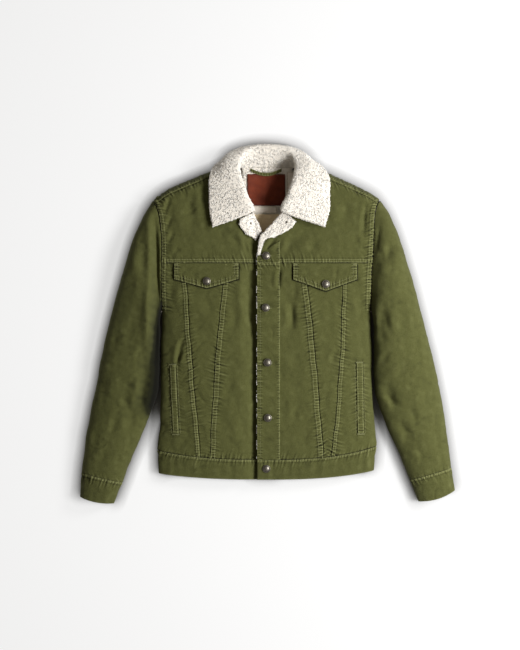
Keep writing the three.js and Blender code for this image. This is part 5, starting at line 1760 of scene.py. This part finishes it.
def make_button(name, side, x, y, lift):
    x, y = np.array([float(x)]), np.array([float(y)])
    up = plan_normal(lambda p, q: on_front(side, p, q), x, y, 2.0)[0]
    at = on_front(side, x, y)[0] + up * lift
    east = np.cross([0, 1, 0], up)
    east /= np.linalg.norm(east)
    north = np.cross(up, east)
    turn = 2 * np.pi * np.arange(BUTTON_SEGMENTS) / BUTTON_SEGMENTS
    rng = np.random.default_rng(abs(int(x[0] * 7 + y[0] * 3)))
    points, tones = [at + up * BUTTON_PROFILE[0][1]], [0.0]
    for r, z, tone in BUTTON_PROFILE[1:-1]:
        dent = 0.06 * np.sin(3 * turn + rng.uniform(0, 6)) * r
        ring = BUTTON_RADIUS * r * (np.cos(turn)[:, None] * east + np.sin(turn)[:, None] * north)
        points.extend(at + ring + up * (z + dent)[:, None])
        tones.extend([tone] * BUTTON_SEGMENTS)
    points.append(at + up * BUTTON_PROFILE[-1][1])
    tones.append(0.0)
    rings = len(BUTTON_PROFILE) - 2
    number = 1 + np.arange(rings * BUTTON_SEGMENTS).reshape(rings, BUTTON_SEGMENTS)
    after = np.roll(number, -1, axis=1)
    faces = np.stack([number[:-1], after[:-1], after[1:], number[1:]], -1).reshape(-1, 4).tolist()
    last = len(points) - 1
    faces += [[0, int(b), int(a)] for a, b in zip(number[0], after[0])]
    faces += [[last, int(a), int(b)] for a, b in zip(number[-1], after[-1])]
    dress(make_mesh(f"{name}_metal", points, faces, [metal], tone=tones), "metal", name)


# The lapels' small tacks: radius and height of each ring.
TACK_PROFILE = [(2.1, -1.6), (2.3, 1.1), (1.9, 1.7), (0.9, 2.0)]
TACK_SEGMENTS = 16


def make_lapel_tacks():
    """The small metal tack that shows in the pile of each turned-out corner."""
    turn = 2 * np.pi * np.arange(TACK_SEGMENTS) / TACK_SEGMENTS
    for side, (x, y) in LAPEL_TACKS.items():
        at = on_front(side, np.array([x]), np.array([y]))[0]
        at[2] += LAPEL_LIFT[side] + LAPEL_WALL
        rings = [at + stack(r * np.cos(turn), r * np.sin(turn), z + 0 * turn) for r, z in TACK_PROFILE]
        number = np.arange(len(rings) * TACK_SEGMENTS).reshape(len(rings), TACK_SEGMENTS)
        after = np.roll(number, -1, axis=1)
        faces = np.stack([number[:-1], after[:-1], after[1:], number[1:]], -1).reshape(-1, 4).tolist()
        faces += [number[0, ::-1].tolist(), number[-1].tolist()]
        points = np.concatenate(rings)
        dress(make_mesh(f"lapel_tack_{side}", points, faces, [metal], tone=np.zeros(len(points))), "metal")


def make_buttons():
    on_placket = SEAM_GAP + PLACKET_WALL + BUTTON_CLEAR
    for i, (x, y) in enumerate(PLACKET_BUTTONS):
        make_button(f"placket_button_{i + 1}", "left", x, y, on_placket)
    make_button("waistband_button", "left", *BAND_BUTTON, BUTTON_CLEAR)
    for side in SIDES:
        x, y = FLAPS[side][4], FLAPS[side][5] + FLAP_BUTTON_ABOVE_TIP
        make_button(f"flap_button_{side}", side, x, y, SEAM_GAP + FLAP_LIFT + FLAP_WALL + BUTTON_CLEAR)


make_lower_back()
for front_side in SIDES:
    make_lower_fronts(front_side)
    make_sleeve(front_side)
    make_cuff(front_side)
make_waistband()
make_front_yokes()
make_back_yoke()
make_placket()
make_flaps()
make_welts()
make_collar()
make_lapels()
make_lining()
make_front_edge_pile()
make_neck_pieces()
make_buttons()
make_lapel_tacks()

# The floor, the lights and the camera.
FLOOR_HALF = 6.0
FLOOR_BELOW = 0.0003
bpy.ops.mesh.primitive_grid_add(
    x_subdivisions=8, y_subdivisions=8, size=2 * FLOOR_HALF, location=(0, 0, -FLOOR_BELOW)
)
floor = bpy.context.object
floor.name = "floor"
floor.data.materials.append(floor_material())

world = bpy.data.worlds.new("studio")
bpy.context.scene.world = world
world.use_nodes = True
world.node_tree.nodes["Background"].inputs["Color"].default_value = (1.0, 0.92, 0.8, 1)
world.node_tree.nodes["Background"].inputs["Strength"].default_value = 0.2


def soft_light(name, at, size, watts):
    """A round lamp that shines at the middle of the jacket."""
    data = bpy.data.lights.new(name, "AREA")
    data.shape = "DISK"
    data.size = size
    data.energy = watts
    light = bpy.data.objects.new(name, data)
    light.location = at
    ahead = -np.array(at, float)
    flat = math.hypot(ahead[0], ahead[1])
    light.rotation_euler = (math.atan2(flat, -ahead[2]), 0, math.atan2(ahead[1], ahead[0]) - math.pi / 2)
    bpy.context.scene.collection.objects.link(light)


soft_light("key", (1.75, 0.85, 1.45), 0.75, 36.0)
soft_light("side", (1.5, -0.35, 1.6), 0.8, 62.0)

# Straight down, with the photo's framing: the middle and the height of what is seen.
CAMERA_HIGH = 4.0
VIEW_CENTRE = (-0.0157, -0.0022)
VIEW_TALL = 1.3975
VIEW_PLANE_Z = 0.03
SENSOR = 36.0
camera_data = bpy.data.cameras.new("camera")
camera_data.sensor_width = SENSOR
camera_data.lens = SENSOR * (CAMERA_HIGH - VIEW_PLANE_Z) / VIEW_TALL
camera = bpy.data.objects.new("camera", camera_data)
camera.location = (*VIEW_CENTRE, CAMERA_HIGH)
bpy.context.scene.collection.objects.link(camera)
bpy.context.scene.camera = camera
bpy.context.scene.view_settings.view_transform = "Standard"
